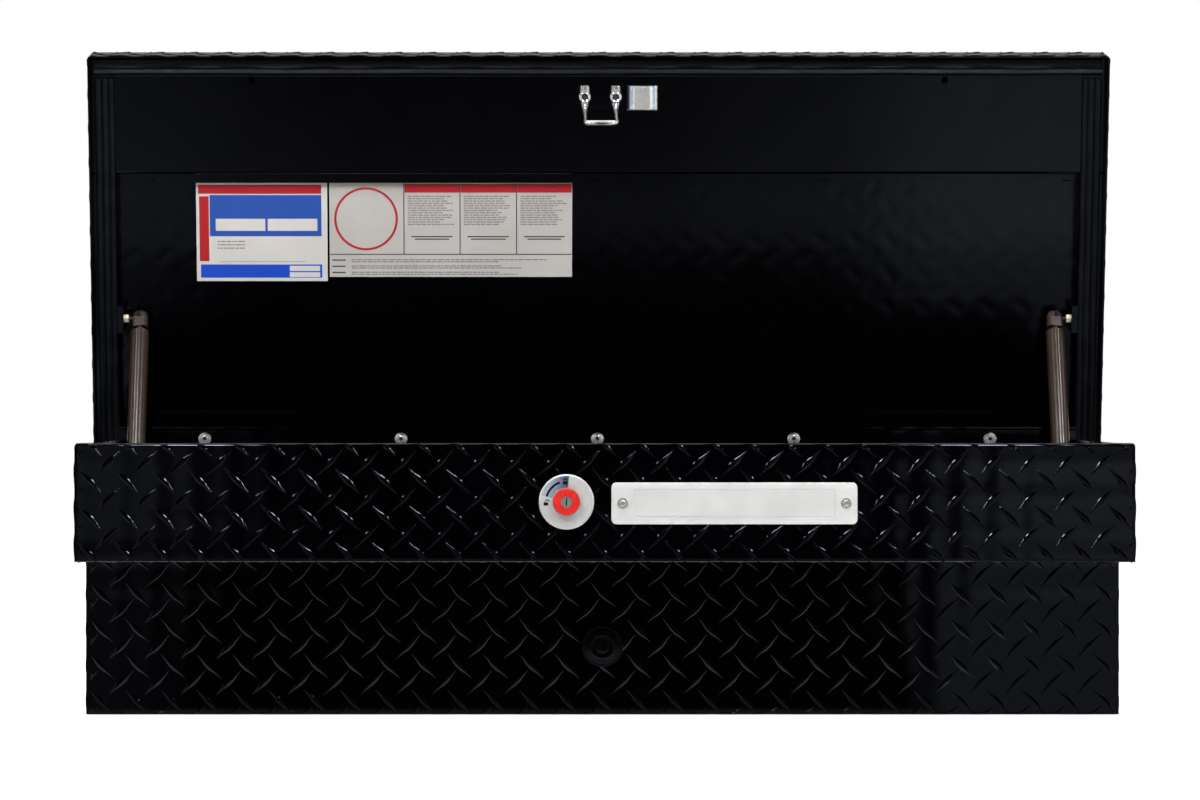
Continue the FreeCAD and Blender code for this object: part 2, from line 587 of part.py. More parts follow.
def make_side_rail(side):
    """Channel under a side seal, from the front channel back to the hinge."""
    name = "right_side_rail" if side > 0 else "left_side_rail"
    sign = "" if side > 0 else "-"
    corners = [
        (f"{sign}{LID_INSIDE}", PANEL), (f"{sign}{RAIL_INSIDE}", PANEL),
        (f"{sign}{RAIL_INSIDE}", LID_UNDER), (f"{sign}({RAIL_INSIDE} + sheet)", LID_UNDER),
        (f"{sign}({RAIL_INSIDE} + sheet)", f"{PANEL} + sheet"), (f"{sign}{LID_INSIDE}", f"{PANEL} + sheet")]
    folds = {"bend": (1,), "bend - sheet": (4,)}
    rail = folded(name, "XZ", corners, f"{CHANNEL_BACK} - rail_start", folds, midplane=False)
    keep(name, rail, LID * at(0, "-rail_start"))


def ribbed(start, width, back, drop):
    """Section of a ribbed strip: a flat back, then one rounded crest after another."""
    corners = [(f"{start} + {width}", back), (start, back)]
    pitch = f"{width} / {SEAL_RIBS}"
    crest, valley = f"{back} - {drop}", f"{back} - {drop} + rib_depth"
    for i in range(SEAL_RIBS):
        foot = f"{start} + {pitch} * {i}"
        corners += [(f"{foot} + {pitch} * 0.08", valley), (f"{foot} + {pitch} * 0.3", crest),
                    (f"{foot} + {pitch} * 0.7", crest), (f"{foot} + {pitch} * 0.92", valley)]
    return corners


def make_seals():
    """Ribbed strips on the front channel and on both side rails, butted at the corners."""
    front = f"(-{SKIRT_INSIDE} + seal_edge)"
    section = ribbed(front, "seal_width", PANEL, "seal_thickness")
    strip = folded("front_seal", "YZ", section, f"2 * ({LID_INSIDE} - side_seal_edge)", {})
    keep("front_seal", strip, LID)
    length = f"{SKIRT_INSIDE} - seal_edge - seal_width - rail_start"
    width = "(rail_width - side_seal_edge)"
    for name, start in (("right_seal", RAIL_INSIDE), ("left_seal", f"(-{RAIL_INSIDE} - {width})")):
        section = ribbed(start, width, PANEL, "seal_thickness")
        strip = folded(name, "XZ", section, length, {}, midplane=False)
        keep(name, strip, LID * at(0, "-rail_start"))


def make_striker():
    """Bent wire loop: two legs out of flattened feet and a cross bar that the claw holds."""
    half, foot = size("striker_span / 2"), size("foot_thickness / 2")
    centre, bend, wire = size("striker_offset"), size("striker_bend"), size("striker_wire")
    root_y, root_z = -size(f"{LID_REACH} - foot_setback"), size(PANEL) - foot
    bar_y, bar_z = -size(f"{LID_REACH} - striker_setback"), size(f"{BAR_Z} - {PIVOT_Z}")
    leg = Vector(0, bar_y - root_y, bar_z - root_z)
    leg.normalize()
    right = Vector(1, 0, 0)
    root, corner = Vector(centre - half, root_y, root_z), Vector(centre - half, bar_y, bar_z)
    away, past = corner - leg * bend, corner + right * bend
    middle = corner + (right - leg) * bend + (leg - right) * (bend / math.sqrt(2))
    span = right * (2 * half)
    mirror = [Vector(2 * centre - p.x, p.y, p.z) for p in (past, middle, away, root)]
    path = Part.Wire([Part.LineSegment(root, away).toShape(), Part.Arc(away, middle, past).toShape(),
                      Part.LineSegment(past, mirror[0]).toShape(),
                      Part.Arc(mirror[0], mirror[1], mirror[2]).toShape(),
                      Part.LineSegment(mirror[2], mirror[3]).toShape()])
    ring = Part.Wire(Part.makeCircle(wire, root, leg))
    shape = path.makePipeShell([ring], True, True)
    reach, width = size(f"{LID_REACH} - foot_rivet_setback"), size("foot_width")
    length, thick = size("foot_length"), size("foot_thickness")
    end = root_y + wire
    for x in (root.x, root.x + span.x):
        corner = Vector(x - width / 2, end - length, size(PANEL) - thick)
        foot_plate = Part.makeBox(width, length, thick, corner)
        edges = [e for e in foot_plate.Edges if abs(e.tangentAt(e.FirstParameter).z) > 0.9]
        foot_plate = foot_plate.makeFillet(width * 0.3, edges)
        hole = Part.makeCylinder(size("plate_rivet_shank"), thick, Vector(x, -reach, corner.z))
        shape = shape.fuse(foot_plate).cut(hole)
    above = Part.makeBox(width * 8, length * 2, wire * 2, Vector(centre - width * 4, end - length * 1.5,
                                                              size(PANEL)))
    item = doc.addObject("Part::Feature", "striker")
    item.Shape = shape.cut(above).removeSplitter()
    keep("striker", item, LID)
    rivets = []
    for i, x in enumerate(FOOT_RIVETS):
        rivets.append(rivet(f"foot_rivet_{i}", x, f"foot_rivet_setback - {LID_REACH}",
                            f"{PANEL} - foot_thickness", "z", -1, "foot_rivet_radius", "plate_rivet_rise",
                            "plate_rivet_shank", "(foot_thickness + sheet)"))
    keep("striker_rivets", group("striker_rivets", rivets), LID)


def make_catch_plate():
    """Small bright plate with its two sides bent down to the panel."""
    x0, x1 = "catch_offset - catch_width / 2", "catch_offset + catch_width / 2"
    low = f"{PANEL} - catch_rise"
    corners = [
        (x0, PANEL), (x0, low), (x1, low), (x1, PANEL),
        (f"{x1} - catch_sheet", PANEL), (f"{x1} - catch_sheet", f"{low} + catch_sheet"),
        (f"{x0} + catch_sheet", f"{low} + catch_sheet"), (f"{x0} + catch_sheet", PANEL)]
    plate = folded("catch_plate", "XZ", corners, "catch_length", {"catch_rise * 0.7": (1, 2)}, midplane=False)
    keep("catch_plate", plate, LID * at(0, f"catch_setback + catch_length / 2 - {LID_REACH}"))


def make_cards():
    """Two thin cards stuck to the lid plate's underside."""
    start = f"(card_inset - {RAIL_INSIDE})"
    for node, left in (("record_card", start), ("ruled_card", f"{start} + record_card_width + card_gap")):
        low = (left, f"-{CARD_TOP}", f"{LID_UNDER} - card_thickness")
        high = (f"{left} + {node}_width", f"{node}_height - {CARD_TOP}", LID_UNDER)
        keep(node, group(node, [box(f"{node}_stock", low, high)]), LID)


# Hinge, drawn about its axis
def make_hinge():
    """Full-length hinge: two leaves with alternating knuckles on one pin, and its rivets."""
    pitch = f"({HINGE_LENGTH} / {KNUCKLES})"
    for node, parity, side in (("hinge_body_leaf", 0, -1), ("hinge_lid_leaf", 1, 1)):
        inner = "(knuckle_radius + hinge_gap - leaf)"
        outer = "(knuckle_radius + hinge_gap)"
        y0, y1 = (inner, outer) if side > 0 else (f"-{outer}", f"-{inner}")
        solids = [box(f"{node}_plate", (f"-{HINGE_LENGTH} / 2", y0, LEAF_START),
                      (f"{HINGE_LENGTH} / 2", y1, "leaf_height"))]
        for i in range(parity, KNUCKLES, 2):
            start = f"-{HINGE_LENGTH} / 2 + {pitch} * {i} + knuckle_gap / 2"
            length = f"{pitch} - knuckle_gap"
            solids.append(cylinder(f"{node}_knuckle_{i}", (start, "0", "0"), "x", "knuckle_radius", length))
            solids.append(box(f"{node}_tab_{i}", (start, y0, "0"), (f"{start} + {length}", y1, LEAF_START)))
        blank = joined(f"{node}_blank", solids)
        tools = [cylinder(f"{node}_bore", (f"-{HINGE_LENGTH} / 2", "0", "0"), "x", "pin_radius + pin_fit",
                          HINGE_LENGTH)]
        height = f"{RIVET_HEIGHT} - {PIVOT_Z}" if side < 0 else SKIRT_RIVET_HEIGHT
        for i, x in enumerate(WALL_RIVETS if side < 0 else SKIRT_RIVETS):
            tools.append(cylinder(f"{node}_hole_{i}", (x, y0, height), "y", "rivet_shank", "leaf"))
        place = at(0, PIVOT_Y, PIVOT_Z) if side < 0 else LID
        keep(node, cut(node, blank, tools), place)
    pin = cylinder("hinge_pin_rod", (f"-{HINGE_LENGTH} / 2", "0", "0"), "x", "pin_radius", HINGE_LENGTH)
    reach = f"({HINGE_LENGTH} / 2 - knuckle_gap / 2)"
    right = cylinder("hinge_pin_right", (reach, "0", "0"), "x", "pin_head", "sheet")
    left = cylinder("hinge_pin_left", (f"-{reach} - sheet", "0", "0"), "x", "pin_head", "sheet")
    keep("hinge_pin", joined("hinge_pin", [pin, right, left]), at(0, PIVOT_Y, PIVOT_Z))
    wall, skirt = [], []
    for i, x in enumerate(WALL_RIVETS):
        wall.append(rivet(f"wall_rivet_{i}", x, f"{TUB_REAR} - sheet", RIVET_HEIGHT, "y", -1, "rivet_flange",
                          "rivet_dome", "rivet_shank", "(sheet + leaf)"))
    for i, x in enumerate(SKIRT_RIVETS):
        skirt.append(rivet(f"skirt_rivet_{i}", x, "knuckle_radius + hinge_gap + sheet", SKIRT_RIVET_HEIGHT,
                           "y", 1, "rivet_flange * 0.75", "rivet_dome", "rivet_shank", "(sheet + leaf)"))
    keep("hinge_body_rivets", group("hinge_body_rivets", wall))
    keep("hinge_lid_rivets", group("hinge_lid_rivets", skirt), LID)


# Gas struts
def strut_places():
    """Centres of the upper and lower balls in the YZ plane, lid open."""
    upper = LID.multVec(Vector(0, -size("strut_reach"), size("strut_depth")))
    lean, length = math.radians(size("strut_lean_angle")), size("strut_length")
    lower = upper - Vector(0, math.sin(lean) * length, math.cos(lean) * length)
    return upper, lower


def make_ball_stud(name, end):
    """Ball, neck, hex collar and shank, with the ball's centre at the origin and the shank along +Z."""
    profile = [("0", "0 - ball_radius"), ("ball_radius * 0.6", "-ball_radius * 0.8"),
               ("ball_radius * 0.9", "-ball_radius * 0.43"), ("ball_radius", "0"),
               ("ball_radius * 0.9", "ball_radius * 0.43"), ("stud_radius", "ball_radius * 0.8"),
               ("stud_radius", COLLAR_START), ("collar_radius", COLLAR_START),
               ("collar_radius", COLLAR_END)]
    if end:
        profile += [("stud_radius", COLLAR_END), ("stud_radius", end), ("0", end)]
    else:
        profile += [("0", COLLAR_END)]
    return turned(name, profile)


def make_socket(name, lower):
    """End socket: domed head, round body, cavity for the ball and a side hole for the neck."""
    profile = [("0", "socket_radius"), ("socket_radius * 0.6", "socket_radius * 0.85"),
               ("socket_radius", "socket_radius * 0.3"), ("socket_radius", "-socket_length"),
               ("0", "-socket_length")]
    blank = turned(f"{name}_blank", profile)
    cavity = doc.addObject("Part::Sphere", f"{name}_cavity")
    bind(cavity, Radius="ball_radius + pin_fit")
    cavity.Placement = Placement(Vector(), Rotation(Vector(0, 0, 1), 180))
    way = cylinder(f"{name}_way", ("0", "0", "0"), "x", "stud_radius + 0.3", "socket_radius * 2")
    return cut(name, blank, [cavity, way])


def make_strut(side):
    """One gas strut with its sockets, ball studs, lid mounting block and tray bracket."""
    word = "right" if side > 0 else "left"
    upper, lower = strut_places()
    x = side * size(STRUT_X)
    lean = Rotation(Vector(1, 0, 0), -size("strut_lean_angle"))
    outward = Rotation(Vector(0, 1, 0), 90 * side)
    half_turn = Rotation(Vector(0, 0, 1), 0 if side > 0 else 180)
    top, foot = Vector(x, upper.y, upper.z), Vector(x, lower.y, lower.z)
    wall = f"({RAIL_INSIDE} - {STRUT_X})"
    lid_stud = make_ball_stud(f"{word}_lid_stud", f"{wall} - stud_gap")
    keep(f"{word}_lid_ball_stud", lid_stud, Placement(top, outward))
    keep(f"{word}_upper_socket", make_socket(f"{word}_upper_end", False), Placement(top, lean * half_turn))
    inside = "(tube_radius - tube_wall)"
    far = "(tube_start + tube_length)"
    tube = turned(f"{word}_cylinder", [
        ("0", "-socket_length"), ("rod_radius", "-socket_length"), ("rod_radius", "-tube_start"),
        ("tube_radius - tube_wall", "-tube_start"), ("tube_radius", "-tube_start - tube_wall"),
        ("tube_radius", f"-{far} + tube_wall"), (inside, f"-{far}"), ("rod_radius + pin_fit", f"-{far}"),
        ("rod_radius + pin_fit", f"-{far} + gland_length"), (inside, f"-{far} + gland_length"),
        (inside, "-tube_start - tube_cap"), ("0", "-tube_start - tube_cap")])
    keep(f"{word}_strut_tube", tube, Placement(top, lean))
    seat = f"(strut_length - {far} + gland_length + piston_margin)"
    piston = f"({inside} - piston_gap)"
    rod = turned(f"{word}_plunger", [
        ("0", "socket_length"), ("rod_radius", "socket_length"), ("rod_radius", seat), (piston, seat),
        (piston, f"{seat} + piston_length"), ("0", f"{seat} + piston_length")])
    keep(f"{word}_strut_rod", rod, Placement(foot, lean))
    lower_end = make_socket(f"{word}_lower_end", True)
    flip = Rotation(Vector(1, 0, 0), 180)
    keep(f"{word}_lower_socket", lower_end, Placement(foot, lean * half_turn * flip))
    keep(f"{word}_tray_ball_stud", make_ball_stud(f"{word}_tray_stud", None), Placement(foot, outward))
    make_strut_mounts(word, side, foot)


def make_strut_mounts(word, side, foot):
    """Block on the lid's side rail and U bracket on the end panel."""
    sign = "" if side > 0 else "-"
    near, wall = f"({STRUT_X} + {COLLAR_END})", RAIL_INSIDE
    lows, highs = (near, wall) if side > 0 else (f"-{wall}", f"-{near}")
    block = box(f"{word}_block", (lows, "-strut_reach - block_half", "skirt_overlap + 1"),
                (highs, "-strut_reach + block_half", f"{LID_UNDER} - sheet"))
    hole = cylinder(f"{word}_block_hole", (lows, "-strut_reach", "strut_depth"), "x", "stud_radius + pin_fit",
                    f"{wall} - {near}")
    keep(f"{word}_strut_block", cut(f"{word}_strut_block", block, [hole]), LID)
    face = f"({near} + stud_gap)"
    back = f"({HALF} - sheet)"
    corners = [(f"{sign}{back}", "-bracket_half"), (f"{sign}{face}", "-bracket_half"),
               (f"{sign}{face}", "bracket_half"), (f"{sign}{back}", "bracket_half"),
               (f"{sign}{back}", "bracket_half - bracket_sheet"),
               (f"{sign}({face} + bracket_sheet)", "bracket_half - bracket_sheet"),
               (f"{sign}({face} + bracket_sheet)", "-bracket_half + bracket_sheet"),
               (f"{sign}{back}", "-bracket_half + bracket_sheet")]
    bracket = folded(f"{word}_bracket", "XY", corners, "bracket_height", {"bracket_sheet": (1, 2)})
    keep(f"{word}_tray_bracket", bracket, Placement(Vector(0, foot.y, foot.z), Rotation()))


# Lock, turned about its own axis, which points into the box
def make_lock():
    """Bezel, barrel, nut, push button with its spring, and key plug."""
    place = at("lock_offset", BAND, LOCK_Z, ALONG_X, -90)
    hole = "(button_radius + button_gap)"
    bezel = turned("bezel_ring", [
        (hole, "-bezel_thickness"), ("bezel_radius - bezel_bevel", "-bezel_thickness"),
        ("bezel_radius", "-bezel_thickness + bezel_bevel"), ("bezel_radius", "0"), (hole, "0")])
    keep("lock_bezel", bezel, place)
    way = "(plunger_radius + button_gap)"
    floor = "(barrel_length - barrel_wall)"
    barrel = turned("barrel", [
        (BORE, "0"), (BARREL, "0"), (BARREL, "barrel_length"), (way, "barrel_length"), (way, floor),
        (BORE, floor)])
    keep("lock_housing", barrel, place)
    face = "(-bezel_thickness - button_rise)"
    stop = "(collar_thickness + sheet / 2)"
    seat = "(key_radius + pin_fit)"
    depth = f"({face} + key_length)"
    button = turned("push_button", [
        (seat, face), ("button_radius - 1", face), ("button_radius", f"{face} + 1"),
        ("button_radius", "sheet / 2 - button_gap"), ("button_collar", "sheet / 2 - button_gap"),
        ("button_collar", stop), ("plunger_radius", stop), ("plunger_radius", PLUNGER_END),
        ("0", PLUNGER_END),
        ("0", depth), (seat, depth)])
    keep("lock_button", button, place)
    plug_face = f"{face} + 0.5"
    plug = turned("plug_blank", [
        ("0", plug_face), ("key_radius", plug_face), ("key_radius", depth), ("0", depth)])
    keyway = box("keyway", ("-0.8", "-key_radius * 0.6", face),
                 ("0.8", "key_radius * 0.6", f"{face} + key_length / 2"))
    keep("lock_key_plug", cut("lock_key_plug", plug, [keyway]), place)
    inner, outer = "(plunger_radius + 3)", "(plunger_radius + 5)"
    pressed = f"({stop} + button_travel + button_gap)"
    spring = turned("button_coil", [(inner, pressed), (outer, pressed), (outer, floor), (inner, floor)])
    keep("button_spring", spring, place)
    nut = doc.addObject("Part::Prism", "nut_blank")
    nut.Polygon = 6
    bind(nut, Circumradius="nut_radius", Height="nut_thickness")
    nut.setExpression("Placement.Base.z", bound("sheet + frame_sheet"))
    bore = cylinder("nut_bore", ("0", "0", "sheet + frame_sheet"), "z", BARREL, "nut_thickness")
    keep("lock_nut", cut("lock_nut", nut, [bore]), place)


# Latch, drawn latched about its own pins
def make_latch():
    """Frame, claw with its pin and spring, pawl with its spring, and two weld studs with nuts."""
    claw_x0, claw_x1 = "(striker_offset - claw_thickness / 2)", "(striker_offset + claw_thickness / 2)"
    gap = "0.6"
    base_y, base_back = f"({BAND} + sheet)", f"({BAND} + sheet + frame_sheet)"
    low, high = f"({CLAW_Z} - 18)", f"({LOCK_Z} + 28)"
    far_left = "(lock_offset - 24)"
    far_right = f"({claw_x1} + {gap} + frame_sheet)"
    solids = [box("latch_base", (far_left, base_y, low), (far_right, base_back, high))]
    plates = (("left", f"{claw_x0} - {gap} - frame_sheet"), ("right", f"{claw_x1} + {gap}"))
    for name, start in plates:
        solids.append(box(f"latch_plate_{name}", (start, base_y, low),
                          (f"{start} + frame_sheet", f"{CLAW_Y} + 16", f"{BAR_Z} + 18")))
    solids.append(box("latch_lug", (far_left, base_y, f"{PAWL_Z} - 9"),
                      (f"{far_left} + frame_sheet", f"{PAWL_Y} + 9", f"{PAWL_Z} + 9")))
    blank = joined("latch_blank", solids)
    width = f"{claw_x1} - {claw_x0} + 2 * {gap} + 2 * frame_sheet"
    start = f"{claw_x0} - {gap} - frame_sheet"
    slot = "(striker_wire + 1.5)"
    tools = [
        cylinder("latch_barrel_hole", ("lock_offset", base_y, LOCK_Z), "y", f"{BARREL} + button_gap",
                 "frame_sheet"),
        cylinder("latch_slot_end", (start, BAR_Y, BAR_Z), "x", slot, width),
        box("latch_slot", (start, f"{BAR_Y} - {slot} - 2.5", BAR_Z),
            (f"{start} + {width}", f"{BAR_Y} + {slot}", f"{BAR_Z} + 18")),
        cylinder("latch_claw_hole", (start, CLAW_Y, CLAW_Z), "x", "claw_pin_radius", width),
        cylinder("latch_stud_hole_upper", (STUD_X, base_y, f"{LOCK_Z} + 20"), "y", "3", "frame_sheet"),
        cylinder("latch_stud_hole_lower", (STUD_X, base_y, f"{LOCK_Z} - 28"), "y", "3", "frame_sheet"),
        cylinder("latch_pawl_hole", (far_left, PAWL_Y, PAWL_Z), "x", "pawl_shaft_radius + pin_fit",
                 f"{far_right} - {far_left}")]
    keep("latch_frame", cut("latch_frame", blank, tools))
    pin = cylinder("claw_pin_shaft", (start, CLAW_Y, CLAW_Z), "x", "claw_pin_radius", f"{width} + 4.5")
    head = cylinder("claw_pin_head", (f"{start} - 2", CLAW_Y, CLAW_Z), "x", "claw_pin_radius + 2", "2")
    keep("claw_pin", joined("claw_pin", [pin, head]))
    claw_section = [
        ("-claw_back - striker_wire - 1.2", "claw_below + striker_wire + 0.6"),
        ("-claw_back - striker_wire - 1.2", "claw_below + striker_wire + 6"),
        ("4", "claw_below + striker_wire + 8.5"), ("8", "claw_below + striker_wire + 4.5"), ("8", "0 - 8"),
        ("5", "0 - 14"), ("4", "0 - 23.5"), ("1", "0 - 23.5"), ("0 - 5", "0 - 19.5"), ("0 - 5", "0 - 9"),
        ("0 - 7", "0"), ("-claw_back * 2", "claw_below - 15"), ("-claw_back * 2", "claw_below - 7.6"),
        ("0 - 2.5", "claw_below - 7.6"), ("0 - 2.5", "claw_below + striker_wire + 0.6")]
    body = new_body("claw_plate")
    pad(body, outline(body, "YZ", claw_section), "claw_thickness", midplane=True)
    bore = cylinder("claw_bore", ("-claw_thickness", "0", "0"), "x", "claw_pin_radius + pin_fit",
                    "2 * claw_thickness")
    opened = at("striker_offset", CLAW_Y, CLAW_Z, ALONG_X, "-claw_swing_angle")
    keep("latch_claw", cut("latch_claw", body, [bore]), opened)
    spring_start = f"{far_right} + 0.3"
    coil = cylinder("claw_coil", (spring_start, CLAW_Y, CLAW_Z), "x", "claw_pin_radius + 3", "4")
    core = cylinder("claw_coil_core", (spring_start, CLAW_Y, CLAW_Z), "x", "claw_pin_radius + 0.6", "4")
    keep("claw_spring", cut("claw_spring", coil, [core]))
    make_pawl(far_left, far_right)
    studs = []
    for name, z in (("upper", f"{LOCK_Z} + 20"), ("lower", f"{LOCK_Z} - 28")):
        stem = cylinder(f"stud_{name}", (STUD_X, base_y, z), "y", "3", "frame_sheet + 8")
        nut = doc.addObject("Part::Prism", f"stud_nut_{name}")
        nut.Polygon = 6
        nut.Placement = Placement(Vector(), FACING_BACK)
        bind(nut, Circumradius="5.6", Height="5")
        for letter, text in zip("xyz", (STUD_X, base_back, z)):
            nut.setExpression(f"Placement.Base.{letter}", bound(text))
        studs.append(joined(f"latch_stud_{name}", [stem, nut]))
    keep("latch_studs", group("latch_studs", studs))


def make_pawl(left, right):
    """Shaft across the frame with the pawl under the claw and the arm behind the button's plunger."""
    shaft = cylinder("pawl_shaft", (f"{left} - striker_offset", "0", "0"), "x", "pawl_shaft_radius",
                     f"{right} - {left}")
    tip = new_body("pawl_tip")
    reach = "(pawl_ahead - 6.5)"
    section = [(f"{reach} + 0.5", "0 - 12.3"), (f"{reach} + 6", "0 - 16"), (f"{reach} + 6", "0 - 19.5"),
               (f"{reach} - 11", "0 - 19"), ("0 - 4", "0 - 3"), ("0", "pawl_shaft_radius + 1.5"),
               ("5", "pawl_shaft_radius - 1"), (f"{reach} - 9", "0 - 12.3")]
    pad(tip, outline(tip, "YZ", section), "claw_thickness", midplane=True)
    front = f"({BAND} + {PLUNGER_END} + button_travel + plunger_gap - {PAWL_Y})"
    arm = box("pawl_arm", (f"lock_offset - 4 - striker_offset", "0 - 3", "0"),
              (f"lock_offset + 4 - striker_offset", f"{front} + 4", "6"))
    post = box("pawl_post", (f"lock_offset - 4 - striker_offset", front, "0"),
               (f"lock_offset + 4 - striker_offset", f"{front} + 4", f"{LOCK_Z} - {PAWL_Z} + 5"))
    whole = joined("latch_pawl", [shaft, tip, arm, post])
    keep("latch_pawl", whole, at("striker_offset", PAWL_Y, PAWL_Z, ALONG_X, "-pawl_swing_angle"))
    seat = ("lock_offset + 12", PAWL_Y, PAWL_Z)
    coil = cylinder("pawl_coil", seat, "x", "pawl_shaft_radius + 2.6", "8")
    core = cylinder("pawl_coil_core", seat, "x", "pawl_shaft_radius + 0.5", "8")
    keep("pawl_spring", cut("pawl_spring", coil, [core]))


make_tub_wrap()
make_front_apron()
make_end_panel(1)
make_end_panel(-1)
make_tub_plug()
make_nameplate()
make_lid_shell()
make_stiffener()
make_side_rail(1)
make_side_rail(-1)
make_seals()
make_striker()
make_catch_plate()
make_cards()
make_hinge()
make_strut(1)
make_strut(-1)
make_lock()
make_latch()

doc.recompute()
faults = [f"{item.Name}: {item.State}" for item in doc.Objects if {"Invalid", "Error"} & set(item.State)]
for node, item in pieces.items():
    if item.Shape.isNull() or not item.Shape.isValid():
        faults.append(f"{node}: shape is null or not valid")
if faults:
    raise RuntimeError("; ".join(faults))

os.makedirs("parts", exist_ok=True)
for node, item in pieces.items():
    item.Shape.exportStep(f"parts/{node}.step")
print(f"{len(pieces)} sub-parts")
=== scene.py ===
"""Looks for the low-side truck tool box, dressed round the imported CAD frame.

The sheets, rails, strut tubes, hinge, lock and latch stay the frame's own nodes under better finishes. The
pressed tread, the print, the plate, the rivets, the seals, the striker, the catch plate, the plug, the strut
heads and the welds are surfaces worked out here.
"""

import json
import logging
import math
from collections.abc import Callable
from dataclasses import dataclass, field
from enum import Enum

import bmesh
import bpy
import numpy as np
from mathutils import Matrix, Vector


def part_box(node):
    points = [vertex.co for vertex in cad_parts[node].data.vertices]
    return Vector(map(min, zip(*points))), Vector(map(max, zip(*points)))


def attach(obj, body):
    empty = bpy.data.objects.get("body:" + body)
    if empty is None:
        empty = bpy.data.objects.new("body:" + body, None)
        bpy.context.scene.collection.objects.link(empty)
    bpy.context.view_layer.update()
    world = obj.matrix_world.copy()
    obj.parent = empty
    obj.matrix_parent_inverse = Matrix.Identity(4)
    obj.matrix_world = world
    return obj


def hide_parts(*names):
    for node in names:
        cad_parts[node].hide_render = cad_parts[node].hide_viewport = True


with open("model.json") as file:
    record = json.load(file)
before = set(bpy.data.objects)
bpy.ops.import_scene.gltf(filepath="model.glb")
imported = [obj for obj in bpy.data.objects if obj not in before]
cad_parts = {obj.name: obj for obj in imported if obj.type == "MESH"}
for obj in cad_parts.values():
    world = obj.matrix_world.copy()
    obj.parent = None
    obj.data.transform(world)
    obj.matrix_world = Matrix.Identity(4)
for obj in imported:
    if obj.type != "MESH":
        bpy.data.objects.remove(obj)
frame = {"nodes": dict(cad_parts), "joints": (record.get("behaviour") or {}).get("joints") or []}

Pair = tuple[float, float]
Triple = tuple[float, float, float]

LOG = logging.getLogger("tool_box")
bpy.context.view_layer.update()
MM = 0.001
ACROSS = np.array([1.0, 0.0, 0.0])
FORWARD = np.array([0.0, -1.0, 0.0])
NOISE_SPAN = (0.3, 0.7)
TREAD_PITCH = 40.17 * MM
BAND_RISING = (-541.4 * MM, 284.4 * MM)
SHELF_DROP = 130 * MM
LID_PANEL = 19 * MM


class Body(Enum):
    """Bodies of the frame that pieces ride on."""

    BOX = "box"
    LID = "lid"
    LEFT_TUBE = "left_strut_tube"
    RIGHT_TUBE = "right_strut_tube"


class Lean(Enum):
    """Which way a pressed lug leans when its sheet is seen from outside."""

    RISING = 1
    FALLING = -1


@dataclass(frozen=True)
class Extent:
    """Lowest and highest corner of a CAD node at rest, in metres."""

    low: np.ndarray
    high: np.ndarray

    @classmethod
    def of(cls, *nodes: str) -> "Extent":
        """Reads the box round one or more nodes from the frame.

        Args:
            nodes: Names of CAD nodes.

        Returns:
            The box round all of them.
        """
        corners = [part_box(node) for node in nodes]
        low = np.min([corner[0][:] for corner in corners], axis=0)
        high = np.max([corner[1][:] for corner in corners], axis=0)
        return cls(low, high)

    @property
    def centre(self) -> np.ndarray:
        """Middle of the box."""
        return (self.low + self.high) / 2


class LidFrame:
    """The lid's own directions: x along the hinge, s from the hinge to the front, n out of the plate."""

    def __init__(self) -> None:
        """Reads the hinge line and the opening angle from the frame's joint."""
        hinge = next(joint for joint in frame["joints"] if joint["name"] == "lid_hinge")
        self.hinge = np.array(hinge["pos_m"])
        self.opening = math.radians(-min(hinge["range_deg"]))
        cosine, sine = math.cos(self.opening), math.sin(self.opening)
        self.along = np.array([0.0, -cosine, sine])
        self.out = np.array([0.0, sine, cosine])

    def place(self, points: np.ndarray) -> np.ndarray:
        """Turns lid points into the frame: hinge + s times the plate's direction + n times its normal.

        Args:
            points: Array of (x, s, n) in metres, any shape ending in 3.

        Returns:
            Array of the same shape in the frame.
        """
        moved = points[..., :1] * ACROSS + points[..., 1:2] * self.along + points[..., 2:] * self.out
        return moved + self.hinge


LID = LidFrame()


def put(name: str, data: bpy.types.ID) -> bpy.types.Object:
    """Makes an object of a mesh, a lamp or a camera and links it to the scene.

    Args:
        name: The object's name.
        data: What it holds.

    Returns:
        The new object.
    """
    made = bpy.data.objects.new(name, data)
    bpy.context.scene.collection.objects.link(made)
    return made


